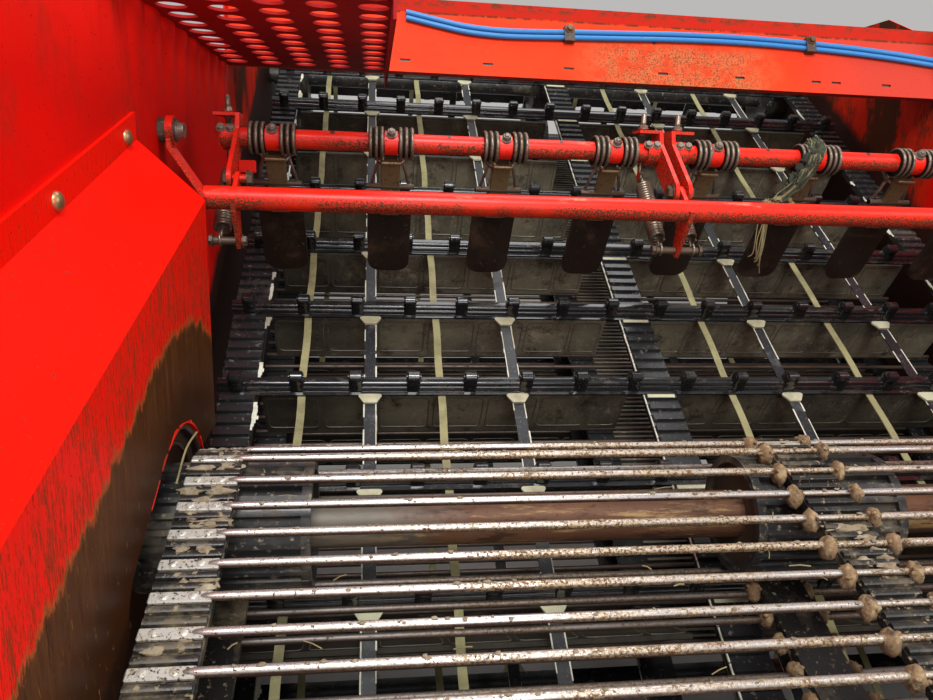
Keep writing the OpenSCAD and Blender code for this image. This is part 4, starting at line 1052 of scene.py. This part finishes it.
def shroud_rim():
    """Bare red edge of the slot, ragged."""
    rim, edge = Shape(), slot_line(0.0)
    for side in (1, -1):
        for k in range(len(edge) - 1):
            if edge[k][0] < -0.1 or noise.noise(vec(k * 0.37, 3 + side, 0)) < -0.22:
                continue
            verts = []
            for q in (k, k + 1):
                u, v = edge[q]
                wide = 0.005 if u > -0.05 else 0.002
                out = wide * (0.35 + 1.3 * abs(noise.noise(vec(q * 0.9, side * 5, 0))))
                d = Vector((u, max(v, 0.05))).normalized() * out
                for x, t in rect(0.9098, 0.9088, 0, 1):
                    verts.append((side * x, *sieve.beside(u + d.x * t, v + d.y * t)))
            rim.skin(verts, 4)
    rim.make("shroud_rim", RAW, "red_paint", smooth=60)


def beam_pieces():
    """Bolts on the hose clips; a dark strip behind the slots and a dark disc that plugs a round hole, both
    painted shade.
    """
    heads, shade_sheet = shapes(2)
    m = move(*BEAM_FOOT) @ rot_x(-BEAM_LEAN)
    for x, h in ((-0.107, 0.124), (0.59, 0.133)):
        up = (h - 0.0075) / cos(radians(BEAM_LEAN)) + 0.012
        at = m @ move(x, -0.0188, up) @ TO_FRONT
        heads.lathe([(0, 0.0125), (0.002, 0.0125)], at, 22)
        heads.bolt_head(at @ move(0.002, 0, 0), 0.0085, 0.007)
    # Painted shade: a dark strip behind the slots, and a dark disc in the hole.
    shade_sheet.box((-0.58, 0.0042, 0.012), (0.86, 0.0068, 0.056), m)
    shade_sheet.lathe([(0, 0.0052), (0.001, 0.005)], m @ move(0.136, -0.0003, 0.12) @ TO_FRONT, 16)
    heads.make("clip_bolts", RUST, "bolt_steel")
    shade_sheet.make("beam_shade_sheet", CLIP, "clip_plastic")


def outside_bolts():
    """Hexagon bolts round the bearings."""
    heads, off = Shape(), 0.046
    places = [web.beside(u, v) for web, side in ((sieve, 0), (haulm, 0), (haulm, -HAULM_SIDE), (lift, 0))
              for u, v in ((0, side), (-web.run, side))]
    for side in (-1, 1):
        for y, z in places:
            for dy in (-off, off):
                for dz in (-off, off):
                    at = move(side * 1.018, y + dy, z + dz) @ outward(side) @ rot_x(30)
                    heads.bolt_head(at, 0.009, 0.0066)
    heads.make("bearing_bolts", BOLT, "bolt_steel")


def hose_pieces():
    # In millimetres: across, and up from the beam's foot
    path = ((-545, 152), (-450, 134), (-380, 123), (-290, 118), (-200, 120), (-107, 124), (50, 130),
            (180, 135), (330, 138), (460, 137), (590, 133), (720, 127), (850, 118), (975, 106))
    c, s = cos_sin(BEAM_LEAN)
    off, apart = 0.0075, 15
    for k in (0, 1):
        pts = []
        for x, h in path:
            up = (h - apart * k) * 0.001
            pts.append(BEAM_FOOT + vec(x * 0.001, up * s / c - off * c, up + off * s))
        shape = Shape()
        shape.tube(bend(pts), 0.007, 14)
        shape.make(f"hose_{k + 1}", HOSE, "hose_plastic", hides=("hoses",))


def debris():
    """Straw and crumbs that lie on the sieving web and the shroud."""
    straw, crumbs = shapes(2)
    for _ in range(60):
        m = sieve.place(pick(0.02, sieve.run + 0.12))
        x, a, length = pick(-0.8, 0.86), pick(0, pi), pick(0.004, 0.018)
        d = vec(cos(a), sin(a) * 0.4, 0) * length
        c = vec(x, 0, 0.0085 + pick(0, 0.002))
        straw.tube([m @ (c - d), m @ (c + vec(0, 0, 0.002)), m @ (c + d)], pick(0.0005, 0.0009), 4)
    for _ in range(420):
        m = sieve.place(SIEVE_PHASE + rng.randint(0, 13) * SIEVE_PITCH)
        w = pick(0.001, 0.0035)
        at = m @ vec(pick(-0.8, 0.86), pick(-0.003, 0.003), 0.0072)
        crumbs.ball(at, (w * 1.4, w, w * 0.6), 0.7, rng.random() * 70, 4)
    straw.tube(bend([(-0.8985, -0.795, 0.915), (-0.892, -0.76, 0.952), (-0.88, -0.742, 0.972)], 5), 0.0016, 6)
    straw.make("straw_bits", STALK, smooth=60)
    crumbs.make("soil_crumbs", SOIL_CAKE, smooth=60)


for build in (sieve_pieces, sieve_drums, haulm_pieces, lift_pieces, finger_pieces, tube_holes,
              spring_pieces, bracket_pieces, frame_bolts, tangle, shroud_bolts, shroud_rim, shroud_lip,
              shroud_skirt, beam_pieces, outside_bolts, hose_pieces, debris):
    build()


# Floor, lights and camera

def stage():
    bpy.ops.mesh.primitive_plane_add(size=30, location=(0, 0, 0))
    floor = bpy.context.object
    floor.name = "floor"
    pale = bpy.data.materials.new("floor_pale")
    pale.use_nodes = True
    sockets = pale.node_tree.nodes["Principled BSDF"].inputs
    sockets["Base Color"].default_value, sockets["Roughness"].default_value = (0.46, 0.45, 0.435, 1), 0.9
    floor.data.materials.append(pale)


def studio():
    world = bpy.data.worlds.new("studio")
    bpy.context.scene.world = world
    world.use_nodes = True
    tree = world.node_tree
    sky, pale = tree.nodes["Background"], tree.nodes.new("ShaderNodeBackground")
    sky.inputs["Color"].default_value, sky.inputs["Strength"].default_value = (1.0, 0.985, 0.965, 1), 0.42
    pale.inputs["Color"].default_value = (0.5, 0.49, 0.48, 1)
    rays, mix = tree.nodes.new("ShaderNodeLightPath"), tree.nodes.new("ShaderNodeMixShader")
    for out, into in ((rays.outputs["Is Camera Ray"], mix.inputs["Fac"]), (sky.outputs[0], mix.inputs[1]),
                      (pale.outputs[0], mix.inputs[2]),
                      (mix.outputs[0], tree.nodes["World Output"].inputs["Surface"])):
        tree.links.new(out, into)
    for name, where, target, size, power in (
            ("key", (-0.6, -3.4, 4.4), (0, -0.4, 1), 1.8, 212),
            ("front", (-0.1, -3.6, 1.5), (0, 0.2, 1.25), 1.4, 25),
            ("fill", (3.2, -2, 2.6), (0, 0, 1), 2.5, 75),
            ("top", (0.4, 0.4, 4.6), (0.2, 0.4, 1), 2, 50)):
        data = bpy.data.lights.new(name, "AREA")
        data.energy, data.size = power, size
        obj = put(name, data)
        obj.location = where
        obj.rotation_euler = (Vector(target) - Vector(where)).to_track_quat("-Z", "Y").to_euler()


def camera():
    """The photo's view: the yaw, pitch, roll and focal length that were fitted to it."""
    (yaw_c, yaw_s), (pitch_c, pitch_s), (roll_c, roll_s) = (cos_sin(a) for a in (7.44, 13, 1.94))
    ahead = vec(yaw_s * pitch_c, yaw_c * pitch_c, -pitch_s)
    level = vec(yaw_c, -yaw_s, 0)
    up = level.cross(ahead)
    right = roll_c * level + roll_s * up
    up = -roll_s * level + roll_c * up
    data = bpy.data.cameras.new("camera")
    sensor, focal_pixels, photo_width = 36, 741.3, 933
    data.sensor_width, data.lens, data.clip_start = sensor, sensor * focal_pixels / photo_width, 0.02
    obj = put("camera", data)
    m = Matrix((right, up, -ahead)).transposed().to_4x4()
    m.translation = vec(-0.63, FRONT - 0.3695, 1.34)
    obj.matrix_world = m
    bpy.context.scene.camera = obj


stage()
studio()
camera()
bpy.context.scene.view_settings.view_transform = "Standard"
